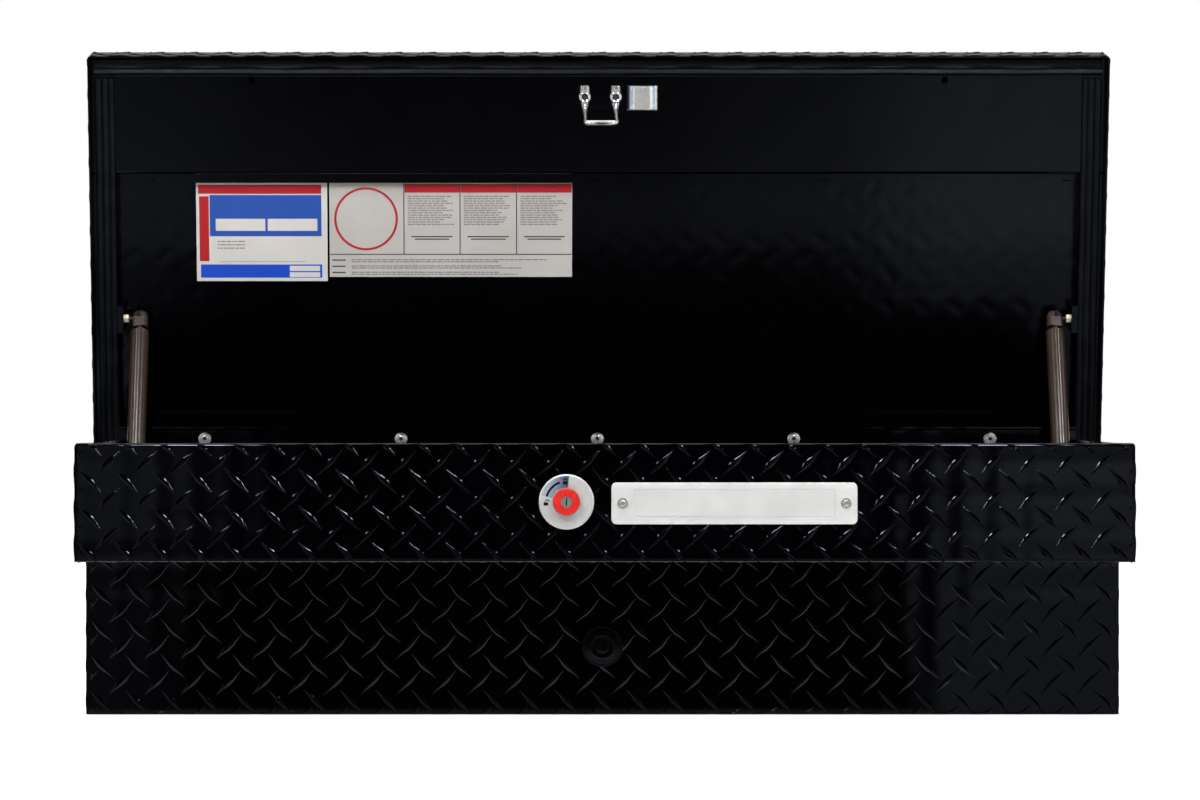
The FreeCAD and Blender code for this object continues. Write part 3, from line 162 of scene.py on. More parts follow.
class Surface:
    """A mesh in the making: grids, turned shapes and faces of whole arrays, joined into one piece."""

    def __init__(self) -> None:
        """Starts with no points and no faces."""
        self.points: list[np.ndarray] = []
        self.faces: list[list[int]] = []
        self.inks: list[int] = []
        self.count = 0

    def _add(self, points: np.ndarray, faces: np.ndarray, ink: int) -> None:
        """Appends points, faces numbered from zero, and the faces' material number."""
        self.points.append(points.reshape(-1, 3))
        self.faces.extend((faces + self.count).tolist())
        self.inks.extend([ink] * len(faces))
        self.count += points.size // 3

    def grid(self, points: np.ndarray, around: bool = False, flip: bool = False, ink: int = 0) -> "Surface":
        """Adds quads between neighbours of a grid of points.

        Args:
            points: Array of shape (rows, columns, 3), or (copies, rows, columns, 3) for many alike.
            around: True where the last column joins the first.
            flip: True to turn the faces over.
            ink: Material number of the faces.

        Returns:
            The surface itself.
        """
        if points.ndim == 3:
            points = points[None]
        copies, rows, columns = points.shape[:3]
        number = np.arange(rows * columns).reshape(rows, columns)
        if around:
            number = np.concatenate([number, number[:, :1]], axis=1)
        quads = np.stack([number[:-1, :-1], number[:-1, 1:], number[1:, 1:], number[1:, :-1]], axis=-1)
        quads = quads.reshape(-1, 4)
        if flip:
            quads = quads[:, ::-1]
        shift = np.arange(copies)[:, None, None] * rows * columns
        self._add(points, (quads[None] + shift).reshape(-1, 4), ink)
        return self

    def face(self, ring: np.ndarray, flip: bool = False, ink: int = 0) -> "Surface":
        """Adds one face with many corners.

        Args:
            ring: Array (corners, 3), counter-clockwise seen from outside.
            flip: True to turn the face over.
            ink: Material number of the face.

        Returns:
            The surface itself.
        """
        order = np.arange(len(ring))
        self._add(ring, (order[::-1] if flip else order)[None], ink)
        return self

    def tube(self, rings: np.ndarray, ink: int = 0) -> "Surface":
        """Adds rings joined round and along, closed by a face at each end.

        Args:
            rings: Array (rings, points in a ring, 3).
            ink: Material number of the faces.

        Returns:
            The surface itself.
        """
        self.grid(rings, around=True, ink=ink)
        return self.face(rings[0], ink=ink).face(rings[-1], flip=True, ink=ink)

    def lathe(self, profile: np.ndarray, centre: np.ndarray, axis: np.ndarray, steps: int = 40,
              ink: int = 0) -> "Surface":
        """Turns a profile round an axis: centre + height times the axis + radius times a turning unit vector.

        Args:
            profile: Array (points, 2) of radius and height.
            centre: Point on the axis at height zero.
            axis: Unit direction of growing height.
            steps: Points round the axis.
            ink: Material number of the faces.

        Returns:
            The surface itself.
        """
        nearly_across = 0.9
        side = ACROSS if abs(axis[0]) < nearly_across else np.array([0.0, 0.0, 1.0])
        first = np.cross(axis, side)
        first /= np.linalg.norm(first)
        second = np.cross(axis, first)
        angle = np.linspace(0, 2 * math.pi, steps, endpoint=False)
        spoke = np.cos(angle)[:, None] * first + np.sin(angle)[:, None] * second
        rings = centre + profile[:, None, 1:] * axis + profile[:, None, :1] * spoke[None]
        return self.grid(rings, around=True, ink=ink)

    def mesh(self, name: str, finishes: list["Finish"]) -> bpy.types.Mesh:
        """Makes the mesh, smooth all over, each face with its material.

        Args:
            name: The mesh's name.
            finishes: One finish for each material number used.

        Returns:
            The new mesh.
        """
        mesh = bpy.data.meshes.new(name)
        mesh.from_pydata(np.concatenate(self.points).tolist(), [], self.faces)
        mesh.polygons.foreach_set("material_index", self.inks)
        mesh.polygons.foreach_set("use_smooth", [True] * len(self.faces))
        for finish in finishes:
            mesh.materials.append(finish.material())
        return mesh

    def build(self, name: str, body: Body, slot: str, finishes: list["Finish"],
              replaces: tuple[str, ...] = (), sharp: float = 35.0, outward: bool = False) -> None:
        """Makes the object, dresses it and lets it ride on its body.

        Args:
            name: The piece's name.
            body: The CAD body that carries it.
            slot: The record's material slot; not used.
            finishes: One finish for each material number used.
            replaces: CAD nodes that the piece stands for.
            sharp: Edges steeper than this many degrees stay crisp.
            outward: True to merge a closed shape's doubles and turn its faces outwards.
        """
        mesh = self.mesh(name, finishes)
        if outward:
            tidy_closed(mesh)
        mesh.set_sharp_from_angle(angle=math.radians(sharp))
        mesh.update()
        piece = put(name, mesh)
        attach(piece, body.value)
        if replaces:
            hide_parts(*replaces)
        LOG.info("%s: %d faces on %s", name, len(mesh.polygons), body.value)


def tidy_closed(mesh: bpy.types.Mesh) -> None:
    """Merges doubles, drops empty faces and turns the faces of a closed mesh outwards.

    Args:
        mesh: The mesh to change.
    """
    shape = bmesh.new()
    shape.from_mesh(mesh)
    bmesh.ops.remove_doubles(shape, verts=shape.verts, dist=1e-6)
    bmesh.ops.dissolve_degenerate(shape, edges=shape.edges, dist=1e-7)
    bmesh.ops.recalc_face_normals(shape, faces=shape.faces)
    shape.to_mesh(mesh)
    shape.free()


class NodeTree:
    """Short ways to add and feed the nodes of one tree."""

    def __init__(self, tree: bpy.types.NodeTree) -> None:
        """Keeps the tree.

        Args:
            tree: A material's or the world's tree.
        """
        self.tree = tree

    def feed(self, target: bpy.types.NodeSocket, value: object) -> None:
        """Joins another node's output to a socket, or sets a plain value on it."""
        if isinstance(value, bpy.types.NodeSocket):
            self.tree.links.new(value, target)
        else:
            target.default_value = value

    def node(self, kind: str, inputs: dict[str | int, object] | None = None,
             **settings: object) -> bpy.types.Node:
        """Adds a node, sets its properties and feeds its inputs by name or number."""
        made = self.tree.nodes.new(kind)
        for key, value in settings.items():
            setattr(made, key, value)
        for key, value in (inputs or {}).items():
            self.feed(made.inputs[key], value)
        return made

    def ranged(self, value: object, low: object, high: object, start: float = NOISE_SPAN[0],
               end: float = NOISE_SPAN[1]) -> object:
        """Maps start..end of a value on low..high."""
        span = {"Value": value, "From Min": start, "From Max": end, "To Min": low, "To Max": high}
        return self.node("ShaderNodeMapRange", span).outputs[0]

    def calc(self, operation: str, *values: object) -> object:
        """One step of arithmetic on sockets or plain numbers."""
        return self.node("ShaderNodeMath", dict(enumerate(values)), operation=operation).outputs[0]


class Shader(NodeTree):
    """One procedural material under construction."""

    def __init__(self, name: str) -> None:
        """Makes the material with a Principled shader.

        Args:
            name: The material's name.
        """
        self.material = bpy.data.materials.new(name)
        self.material.use_nodes = True
        super().__init__(self.material.node_tree)
        self.tree.nodes.clear()
        self.surface = self.node("ShaderNodeBsdfPrincipled")
        self.output = self.node("ShaderNodeOutputMaterial", {0: self.surface.outputs[0]})
        self.object = self.node("ShaderNodeTexCoord").outputs["Object"]

    def set(self, **values: object) -> "Shader":
        """Sets the Principled shader's sockets by name, with _ for a space."""
        for key, value in values.items():
            self.surface.inputs[key.replace("_", " ")].default_value = value
        return self

    def mapped(self, scale: Triple = (1, 1, 1), turn: Triple = (0, 0, 0),
               shift: Triple = (0, 0, 0)) -> object:
        """Object coordinates, moved, turned and scaled by a Mapping node."""
        change = {"Vector": self.object, "Location": shift, "Rotation": turn, "Scale": scale}
        return self.node("ShaderNodeMapping", change).outputs[0]

    def axes(self, where: object = None) -> list[object]:
        """The x, y and z of object coordinates or of another vector."""
        return list(self.node("ShaderNodeSeparateXYZ", {0: where or self.object}).outputs)

    def noise(self, grain: float, detail: float = 2.0, where: object = None) -> object:
        """Noise with one bump about every grain metres."""
        pattern = {"Vector": where or self.object, "Scale": 1.0 / grain, "Detail": detail}
        return self.node("ShaderNodeTexNoise", pattern).outputs["Fac"]

    def cells(self, grain: float) -> object:
        """Distance to the middle of the nearest of many cells, each about grain metres wide."""
        pattern = {"Vector": self.object, "Scale": 1.0 / grain}
        return self.node("ShaderNodeTexVoronoi", pattern).outputs["Distance"]

    def ramp(self, value: object, *stops: tuple[float, Triple]) -> object:
        """Colour ramp through the given stops."""
        made = self.node("ShaderNodeValToRGB", {0: value})
        elements = made.color_ramp.elements
        for element, (place, colour) in zip(elements, stops):
            element.position = place
            element.color = (*colour, 1)
        return made.outputs[0]

    def drifted(self, value: object, colour: Triple, darker: float, lighter: float = 1.0) -> object:
        """A colour that drifts with a noise between two factors of itself."""
        return self.ramp(value, (NOISE_SPAN[0], tint(colour, darker)), (NOISE_SPAN[1], tint(colour, lighter)))

    def bump(self, height: object, depth: float, strength: float = 1.0, under: object = None) -> object:
        """Bump of the given depth in metres, laid over another bump where there is one."""
        made = self.node("ShaderNodeBump", {"Height": height, "Distance": depth, "Strength": strength})
        if under is not None:
            self.feed(made.inputs["Normal"], under)
        return made.outputs[0]

    def wear(self, colour: object, roughness: object = None, normal: object = None) -> bpy.types.Material:
        """Feeds the worked-out colour, roughness and normal, and hands over the material."""
        for key, value in (("Base Color", colour), ("Roughness", roughness), ("Normal", normal)):
            if value is not None:
                self.feed(self.surface.inputs[key], value)
        return self.material


@dataclass(frozen=True)
class Finish:
    """A finish: makes its material once and gives the same one after that."""

    name: str

    def material(self) -> bpy.types.Material:
        """The Blender material of this finish."""
        known = bpy.data.materials.get(self.name)
        return known if known is not None else self.mix()

    def mix(self) -> bpy.types.Material:
        """Builds the node tree. Each finish has its own."""
        raise NotImplementedError


def tint(colour: Triple, factor: float) -> Triple:
    """A colour made lighter or darker by a factor."""
    return tuple(min(1.0, part * factor) for part in colour)


@dataclass(frozen=True)
class BlackCoat(Finish):
    """Gloss black powder coat: orange peel, a slow drift of gloss, and the sheet's soft swell."""

    colour: Triple = (0.0002, 0.0002, 0.0004)
    level: float = 0.14
    sheen: Triple = (0.76, 0.82, 1.0)
    gloss: Pair = (0.05, 0.09)
    drift: Pair = (0.12, 0.05)
    peel: Pair = (1.6 * MM, 0.02 * MM)
    swell: float = 0.0
    wave: Pair = (0.034, 0.16 * MM)
    strokes: bool = False
    turn: float = 0.0

    def mix(self) -> bpy.types.Material:
        """Colour and gloss drift with slow noise; the peel is fine noise; the swell follows the lattice."""
        shader = Shader(self.name).set(Specular_IOR_Level=self.level, Specular_Tint=(*self.sheen, 1))
        colour = shader.drifted(shader.noise(self.drift[0], 3), self.colour, 0.8, 1.5)
        rough = shader.ranged(shader.noise(self.drift[1], 4), *self.gloss)
        grain, depth = self.peel
        normal = shader.bump(shader.noise(grain), depth, 0.6)
        if self.swell:
            normal = shader.bump(self.lattice(shader), self.swell, under=normal)
            grain, depth = self.wave
            normal = shader.bump(shader.noise(grain, 1), depth, under=normal)
        return shader.wear(colour, rough, normal)

    def lattice(self, shader: Shader) -> object:
        """Swell of the press: c = cos(pi (h + z) / pitch) and d = cos(pi (h - z) / pitch), with h = x + y.

        Their product peaks at the rising lugs and dips at the falling ones. Strokes keep a narrow groove
        along each lug instead: |d|^3 of a peak and |c|^3 of a dip.

        Args:
            shader: The material that the nodes go into.

        Returns:
            The height's socket.
        """
        first_x, first_z = BAND_RISING
        x, y, z = shader.axes(shader.mapped(turn=(self.turn, 0, 0), shift=(-first_x, 0, -first_z)))
        level = shader.calc("ADD", x, y)
        waves = []
        for mixed in ("ADD", "SUBTRACT"):
            slant = shader.calc(mixed, level, z)
            waves.append(shader.calc("COSINE", shader.calc("MULTIPLY", slant, math.pi / TREAD_PITCH)))
        egg = shader.calc("MULTIPLY", *waves)
        if not self.strokes:
            return egg
        grooves = []
        for sign, wave in zip((1.0, -1.0), reversed(waves)):
            peak = shader.calc("MAXIMUM", shader.calc("MULTIPLY", egg, sign), 0.0)
            narrow = shader.calc("POWER", shader.calc("ABSOLUTE", wave), 3.0)
            grooves.append(shader.calc("MULTIPLY", peak, narrow))
        return shader.calc("ADD", *grooves)


@dataclass(frozen=True)
class Rubber(Finish):
    """Black rubber or foam: open grain, matt, with dusty high spots."""

    colour: Triple = (0.0013, 0.0015, 0.0022)
    sheen: Triple = (0.8, 0.86, 1.0)
    gloss: Pair = (0.37, 0.55)
    grain: float = 0.9 * MM
    depth: float = 0.12 * MM
    level: float = 0.12
    dust: float = 0.02
    dusty: Pair = (0.35, 0.75)

    def mix(self) -> bpy.types.Material:
        """Pores in the bump, dust in the colour and the gloss."""
        shader = Shader(self.name).set(Specular_IOR_Level=self.level, Specular_Tint=(*self.sheen, 1))
        dust = shader.noise(self.dust, 5)
        colour = shader.ramp(dust, (self.dusty[0], self.colour), (self.dusty[1], tint(self.colour, 1.9)))
        pores = shader.bump(shader.cells(self.grain), self.depth, 0.7)
        return shader.wear(colour, shader.ranged(dust, *self.gloss), pores)


@dataclass(frozen=True)
class Metal(Finish):
    """Bare or plated metal: mottled plating, a brushed or hammered bump."""

    colour: Triple = (0.56, 0.56, 0.55)
    gloss: Pair = (0.22, 0.38)
    metallic: float = 0.85
    mottle: float = 4 * MM
    contrast: float = 0.75
    brush: Triple = (1, 1, 1)
    lines: float = 1.1 * MM
    depth: float = 0.05 * MM

    def mix(self) -> bpy.types.Material:
        """Mottle drives colour and gloss; brush stretches the fine noise along one direction."""
        shader = Shader(self.name).set(Metallic=self.metallic, Specular_IOR_Level=0.5)
        mottle = shader.noise(self.mottle, 4)
        lines = shader.noise(self.lines, 3, shader.mapped(scale=self.brush))
        return shader.wear(shader.drifted(mottle, self.colour, self.contrast),
                           shader.ranged(mottle, *self.gloss), shader.bump(lines, self.depth, 0.8))


@dataclass(frozen=True)
class Moulded(Finish):
    """Glossy moulded plastic with a faint grain and a drift of colour."""

    colour: Triple = (0.62, 0.035, 0.022)
    gloss: Pair = (0.2, 0.32)
    level: float = 0.45
    drift: float = 0.01
    grain: Pair = (0.5 * MM, 0.02 * MM)

    def mix(self) -> bpy.types.Material:
        """Fine grain in the bump, slow drift in the colour."""
        shader = Shader(self.name).set(Specular_IOR_Level=self.level)
        drift = shader.noise(self.drift, 3)
        spacing, depth = self.grain
        return shader.wear(shader.drifted(drift, self.colour, 0.9), shader.ranged(drift, *self.gloss),
                           shader.bump(shader.noise(spacing), depth, 0.5))


@dataclass(frozen=True)
class DialFade(Finish):
    """Metallic ink that fades across the dial, from pale grey-blue at its left to dark blue at its right."""

    pale: Triple = (0.3, 0.34, 0.4)
    dark: Triple = (0.05, 0.075, 0.13)
    across: Pair = (-69 * MM, -40 * MM)
    grain: float = 2 * MM
    stirred: float = 0.25

    def mix(self) -> bpy.types.Material:
        """The ramp runs along x between the two places, stirred by a little noise."""
        shader = Shader(self.name).set(Metallic=0.3, Specular_IOR_Level=0.4)
        grain = shader.noise(self.grain, 3)
        place = shader.ranged(shader.axes()[0], 0.0, 1.0, *self.across)
        stir = shader.calc("MULTIPLY", shader.calc("SUBTRACT", grain, 0.5), self.stirred)
        colour = shader.ramp(shader.calc("ADD", place, stir), (0.1, self.pale), (0.9, self.dark))
        return shader.wear(colour, shader.ranged(grain, 0.25, 0.35), shader.bump(grain, 0.01 * MM, 0.5))


@dataclass(frozen=True)
class Print(Finish):
    """Printed vinyl: a colour with a paper-fine grain, a slight sheen and a slow unevenness."""

    colour: Triple = (0.76, 0.76, 0.76)
    gloss: Pair = (0.32, 0.45)
    fine: float = 0.7 * MM
    slow: float = 0.06
    spread: Pair = (0.35, 0.65)

    def mix(self) -> bpy.types.Material:
        """Grain darkens the colour a little and roughens the sheen."""
        shader = Shader(self.name).set(Specular_IOR_Level=0.3)
        grain = shader.noise(self.fine, 3)
        slow = shader.noise(self.slow)
        mixed = shader.calc("ADD", shader.calc("MULTIPLY", grain, 0.4), shader.calc("MULTIPLY", slow, 0.6))
        colour = shader.ramp(mixed, (self.spread[0], tint(self.colour, 0.9)), (self.spread[1], self.colour))
        return shader.wear(colour, shader.ranged(slow, *self.gloss), shader.bump(grain, 0.02 * MM, 0.4))


@dataclass(frozen=True)
class FloorPaper(Finish):
    """White paper: matt and shadowed by the box, and lifted to white for camera rays.

    Mirror rays see a painted glow on it, an emission and no lamp, beside and behind the box's foot. In front
    the glow is dark between two wedges of painted light, whose edges run from the box to the softboxes. The
    bearing b = (x - eye x) / (eye y - y) tells them apart, where the eye is the camera's mirror image behind
    the tub's front.
    """

    pale: tuple[Triple, Triple] = ((0.86,) * 3, (0.9,) * 3)
    lift: float = 0.78
    foot: Pair = (0.6, 0.2)
    reach: Pair = (0.4, 0.52)
    eye: Pair = (-0.098, 4.834)
    side_light: float = 0.7
    side_dark: float = 0.03
    lowest: float = 0.02
    rear: Pair = (-0.3, -0.2)
    front: Pair = (-0.2, -0.16)
    right_wedge: Pair = (0.089, 0.098)
    right_light: float = 0.75
    left_wedge: Pair = (-0.09, -0.07)
    left_light: float = 0.25

    def mix(self) -> bpy.types.Material:
        """Mixes the paper with a mirror-ray emission whose strength is the painted pool of light on the
        floor.
        """
        shader = Shader(self.name).set(Roughness=0.9, Specular_IOR_Level=0.0, Emission_Color=(1, 1, 1, 1))
        colour = shader.ramp(shader.noise(0.4), *zip(NOISE_SPAN, self.pale))
        path = shader.node("ShaderNodeLightPath").outputs
        lift = shader.calc("MULTIPLY", path["Is Camera Ray"], self.lift)
        shader.feed(shader.surface.inputs["Emission Strength"], lift)
        painted_glow = shader.node("ShaderNodeEmission", {"Strength": self.painted_light_pool(shader)})
        mirrored = shader.node("ShaderNodeMixShader", {0: path["Is Glossy Ray"], 1: shader.surface.outputs[0],
                                                       2: painted_glow.outputs[0]})
        shader.feed(shader.output.inputs[0], mirrored.outputs[0])
        return shader.wear(colour)

    def painted_light_pool(self, shader: Shader) -> object:
        """How bright the floor's painted glow is to mirror rays: the sides and rear by distance, the front by
        bearing.

        Args:
            shader: The material that the nodes go into.

        Returns:
            The brightness's socket.
        """
        x, y, _ = shader.axes()
        away = [shader.calc("SUBTRACT", shader.calc("ABSOLUTE", axis), half)
                for axis, half in zip((x, y), self.foot)]
        near = shader.ranged(shader.calc("MAXIMUM", *away), self.side_light, self.side_dark, *self.reach)
        behind = shader.ranged(y, self.side_dark, 1.0, *self.rear)
        side = shader.calc("MULTIPLY", near, behind)
        bearing = shader.calc("DIVIDE", shader.calc("SUBTRACT", x, self.eye[0]),
                              shader.calc("SUBTRACT", self.eye[1], y))
        right = shader.ranged(bearing, 0.0, self.right_light, *self.right_wedge)
        left = shader.ranged(bearing, self.left_light, 0.0, *self.left_wedge)
        ahead = shader.calc("MULTIPLY", shader.calc("MAXIMUM", right, left),
                            shader.ranged(y, 1.0, 0.0, *self.front))
        return shader.calc("MAXIMUM", shader.calc("MAXIMUM", side, ahead), self.lowest)


TREAD = BlackCoat("tread_black_coat", swell=0.12 * MM)
TREAD_LID = BlackCoat("lid_black_coat", swell=-0.13 * MM, strokes=True, turn=LID.opening - math.pi / 2,
                      gloss=(0.12, 0.18))
SMOOTH = BlackCoat("smooth_black_coat", gloss=(0.14, 0.22))
BRACKET = BlackCoat("bracket_black_coat", gloss=(0.3, 0.42), level=0.2)
FOAM = Rubber("foam_rubber")
PLUG_RUBBER = Rubber("plug_rubber_black", colour=(0.0006, 0.0007, 0.0009), gloss=(0.18, 0.36),
                     grain=1.6 * MM, depth=0.02 * MM, level=0.07)
ZINC = Metal("zinc_plate")
CAST_ZINC = Metal("striker_cast_zinc", colour=(0.6, 0.6, 0.62), mottle=1.6 * MM, gloss=(0.18, 0.28),
                  contrast=0.6)
# Near-black zinc: painted shade in the bosses' wells and on their rivets, and the dark scuff on the bar.
SHADE_AND_SCUFF_ZINC = Moulded("recess_shade_and_scuff_zinc", colour=(0.02, 0.018, 0.028), gloss=(0.3, 0.4), level=0.3)
BRIGHT_ZINC = Metal("bright_zinc_plate", colour=(0.72, 0.72, 0.71), metallic=0.8, mottle=9 * MM,
                    contrast=0.9, gloss=(0.12, 0.22))
CATCH_ZINC = Metal("catch_brushed_zinc", colour=(0.57, 0.57, 0.565), metallic=0.7, mottle=25 * MM,
                   contrast=0.94, brush=(1, 0.06, 0.06), depth=0.03 * MM, gloss=(0.24, 0.32))
# The catch plate's edge finishes are painted light: a pale-blue painted reflection, a painted highlight and
# painted shade.
CATCH_PAINTED_BLUE_REFLECTION = Metal("catch_edge_painted_blue_reflection", colour=(0.4, 0.5, 0.6), metallic=0.6, mottle=6 * MM,
                   gloss=(0.2, 0.3))
CATCH_PAINTED_HIGHLIGHT = Metal("catch_edge_painted_highlight", colour=(0.8, 0.76, 0.7), metallic=0.55, mottle=6 * MM,
                     gloss=(0.2, 0.3), contrast=0.9)
CATCH_PAINTED_SHADE = Moulded("catch_edge_painted_shade", colour=(0.012, 0.013, 0.02), gloss=(0.3, 0.4), level=0.2)
STUD_ZINC = Metal("stud_yellow_zinc", colour=(0.8, 0.73, 0.56), metallic=0.75, gloss=(0.14, 0.25),
                  mottle=3 * MM)
BEZEL_SATIN = Metal("bezel_satin_silver", colour=(0.5, 0.5, 0.49), metallic=0.5, gloss=(0.3, 0.4),
                    contrast=0.94, brush=(0.05, 1, 1), mottle=12 * MM, depth=0.02 * MM)
SATIN = Metal("satin_silver_plate", colour=(0.64, 0.64, 0.63), metallic=0.5, brush=(0.04, 1, 1),
              gloss=(0.3, 0.4), contrast=0.95, mottle=20 * MM, depth=0.02 * MM)
STEEL = Metal("spring_steel", colour=(0.42, 0.42, 0.43), gloss=(0.25, 0.35), brush=(1, 0.1, 1))
RIVET_STEEL = Metal("rivet_steel", colour=(0.6, 0.59, 0.57), gloss=(0.18, 0.3), mottle=1.5 * MM)
KEY_METAL = Metal("key_plug_metal", colour=(0.24,) * 3, metallic=0.6, gloss=(0.3, 0.45), mottle=2 * MM)
STRUT_TUBE = Moulded("strut_tube_brown", colour=(0.024, 0.0135, 0.0085), gloss=(0.2, 0.26), level=0.3)
STRUT_END = Moulded("strut_end_brown", colour=(0.026, 0.0165, 0.015), gloss=(0.34, 0.42), level=0.3)
ROD = Metal("strut_rod_dark", colour=(0.12, 0.11, 0.11), gloss=(0.12, 0.2), mottle=15 * MM, depth=0.01 * MM)
RED = Moulded("button_red_plastic", colour=(0.42, 0.014, 0.01), level=0.25)
# Near-black for the hinge rivets' holes: painted shade.
RECESS_SHADE = Moulded("recess_painted_shade", colour=(0.01,) * 3, gloss=(0.5, 0.6))
CARD_WHITE = Print("card_white", colour=(0.49, 0.475, 0.46))
CARD_GREY = Print("card_warm_white", colour=(0.38, 0.363, 0.347))
INK_BLUE = Print("ink_blue", colour=(0.012, 0.06, 0.3))
INK_STRIP = Print("ink_strip_blue", colour=(0.003, 0.05, 0.42))
INK_RED = Print("ink_red", colour=(0.33, 0.006, 0.01))
INK_DARK = Print("ink_dark", colour=(0.035, 0.03, 0.03))
INK_GREY = Print("ink_grey", colour=(0.17, 0.155, 0.15))
INK_BLACK = Moulded("ink_black", colour=(0.004,) * 3, gloss=(0.5, 0.6), level=0.05)
DIAL_BLUE = DialFade("dial_sector_blue")
FLOOR_PAPER = FloorPaper("floor_paper_painted_glow")
SIDES = ((-1, "left"), (1, "right"))


def both(*names: str) -> tuple[str, ...]:
    """Each name with left_ and with right_ before it."""
    return tuple(f"{word}_{name}" for _, word in SIDES for name in names)


NODE_FINISHES: dict[Finish, tuple[str, ...]] = {
    TREAD: ("tub_wrap", "front_apron", *both("end_panel")),
    TREAD_LID: ("lid_shell",),
    SMOOTH: ("lid_stiffener", *both("side_rail")),
    BRACKET: both("strut_block", "tray_bracket"),
    ZINC: ("hinge_body_leaf", "hinge_lid_leaf", "latch_frame", "latch_claw", "latch_pawl", "lock_housing",
           "lock_nut", "latch_studs", *both("tray_ball_stud")),
    BRIGHT_ZINC: ("hinge_lid_rivets",),
    BEZEL_SATIN: ("lock_bezel",),
    STEEL: ("hinge_pin", "claw_pin", "claw_spring", "pawl_spring", "button_spring"),
    KEY_METAL: ("lock_key_plug",),
    STRUT_TUBE: both("strut_tube"),
    STRUT_END: both("lower_socket"),
    ROD: both("strut_rod"),
    RED: ("lock_button",),
    CARD_WHITE: ("record_card",),
    CARD_GREY: ("ruled_card",),
}


def dress_nodes() -> None:
    """Gives each CAD node that stays its finish, in every slot of its mesh."""
    for finish, names in NODE_FINISHES.items():
        for name in names:
            for slot in frame["nodes"][name].material_slots:
                slot.material = finish.material()
        LOG.info("%s on %s", finish.name, ", ".join(names))


@dataclass(frozen=True)
class FoldedLine:
    """Outer line of a folded sheet: straight runs with a round bend at each inner corner."""

    corners: tuple[Pair, ...]
    radius: float
    bend_steps: int = 6

    def trace(self) -> tuple[np.ndarray, np.ndarray, np.ndarray]:
        """Walks the line. A bend's point is centre + radius * (n cos a + d sin a), a from 0 to a right angle.

        Returns:
            Running length, points (k, 2) and outward normals (k, 2).
        """
        corners = np.array(self.corners)
        runs = np.diff(corners, axis=0)
        runs /= np.linalg.norm(runs, axis=1)[:, None]
        outs = np.stack([runs[:, 1], -runs[:, 0]], axis=1)
        angle = np.linspace(0, math.pi / 2, self.bend_steps + 1)[:, None]
        points = [corners[:1]]
        normals = [outs[:1]]
        for corner, run, out in zip(corners[1:-1], runs, outs):
            turned = out * np.cos(angle) + run * np.sin(angle)
            points.append(corner - self.radius * (run + out) + self.radius * turned)
            normals.append(turned)
        points.append(corners[-1:])
        normals.append(outs[-1:])
        line = np.concatenate(points)
        steps = np.linalg.norm(np.diff(line, axis=0), axis=1)
        return np.concatenate([[0.0], np.cumsum(steps)]), line, np.concatenate(normals)

    def at(self, lengths: np.ndarray, height: np.ndarray) -> np.ndarray:
        """Points at running lengths, raised above the sheet along its normal.

        Args:
            lengths: Running lengths, kept between the line's ends.
            height: Height above the sheet at each.

        Returns:
            Array of (first, second) coordinates.
        """
        known, line, normals = self.trace()
        spot = np.stack([np.interp(lengths, known, line[:, k]) for k in (0, 1)], axis=-1)
        up = np.stack([np.interp(lengths, known, normals[:, k]) for k in (0, 1)], axis=-1)
        up /= np.linalg.norm(up, axis=-1)[..., None]
        return spot + up * height[..., None]


@dataclass(frozen=True)
class Lug:
    """One pressed lug: a long rhombus with pointed tips, a wider middle and a ridge along its length."""

    length: float = 41 * MM
    width: float = 8.6 * MM
    height: float = 1.25 * MM
    sunk: float = 0.03 * MM
    along_steps: tuple[float, ...] = (-1, -0.97, -0.85, -0.5, -0.2, 0.2, 0.5, 0.85, 0.97, 1)
    across_steps: tuple[float, ...] = (-1, -0.86, -0.55, -0.18, 0.18, 0.55, 0.86, 1)

    def shape(self) -> tuple[np.ndarray, np.ndarray, np.ndarray]:
        """Along u and across v: half width w = (1 - u^2)^0.75 (0.5 + 0.5 exp(-(u / 0.28)^2)).

        The height is sqrt(w) (1 - |v|^2.2), so that the flanks steepen a little towards the tips.

        Returns:
            Places along the lug, across it, and heights, each (10, 8).
        """
        along, across = np.meshgrid(np.array(self.along_steps), np.array(self.across_steps), indexing="ij")
        half = (1 - along**2) ** 0.75 * (0.5 + 0.5 * np.exp(-(along / 0.28) ** 2))
        rise = np.sqrt(half) * (1 - np.abs(across) ** 2.2)
        return along * self.length / 2, across * half * self.width / 2, rise * self.height - self.sunk


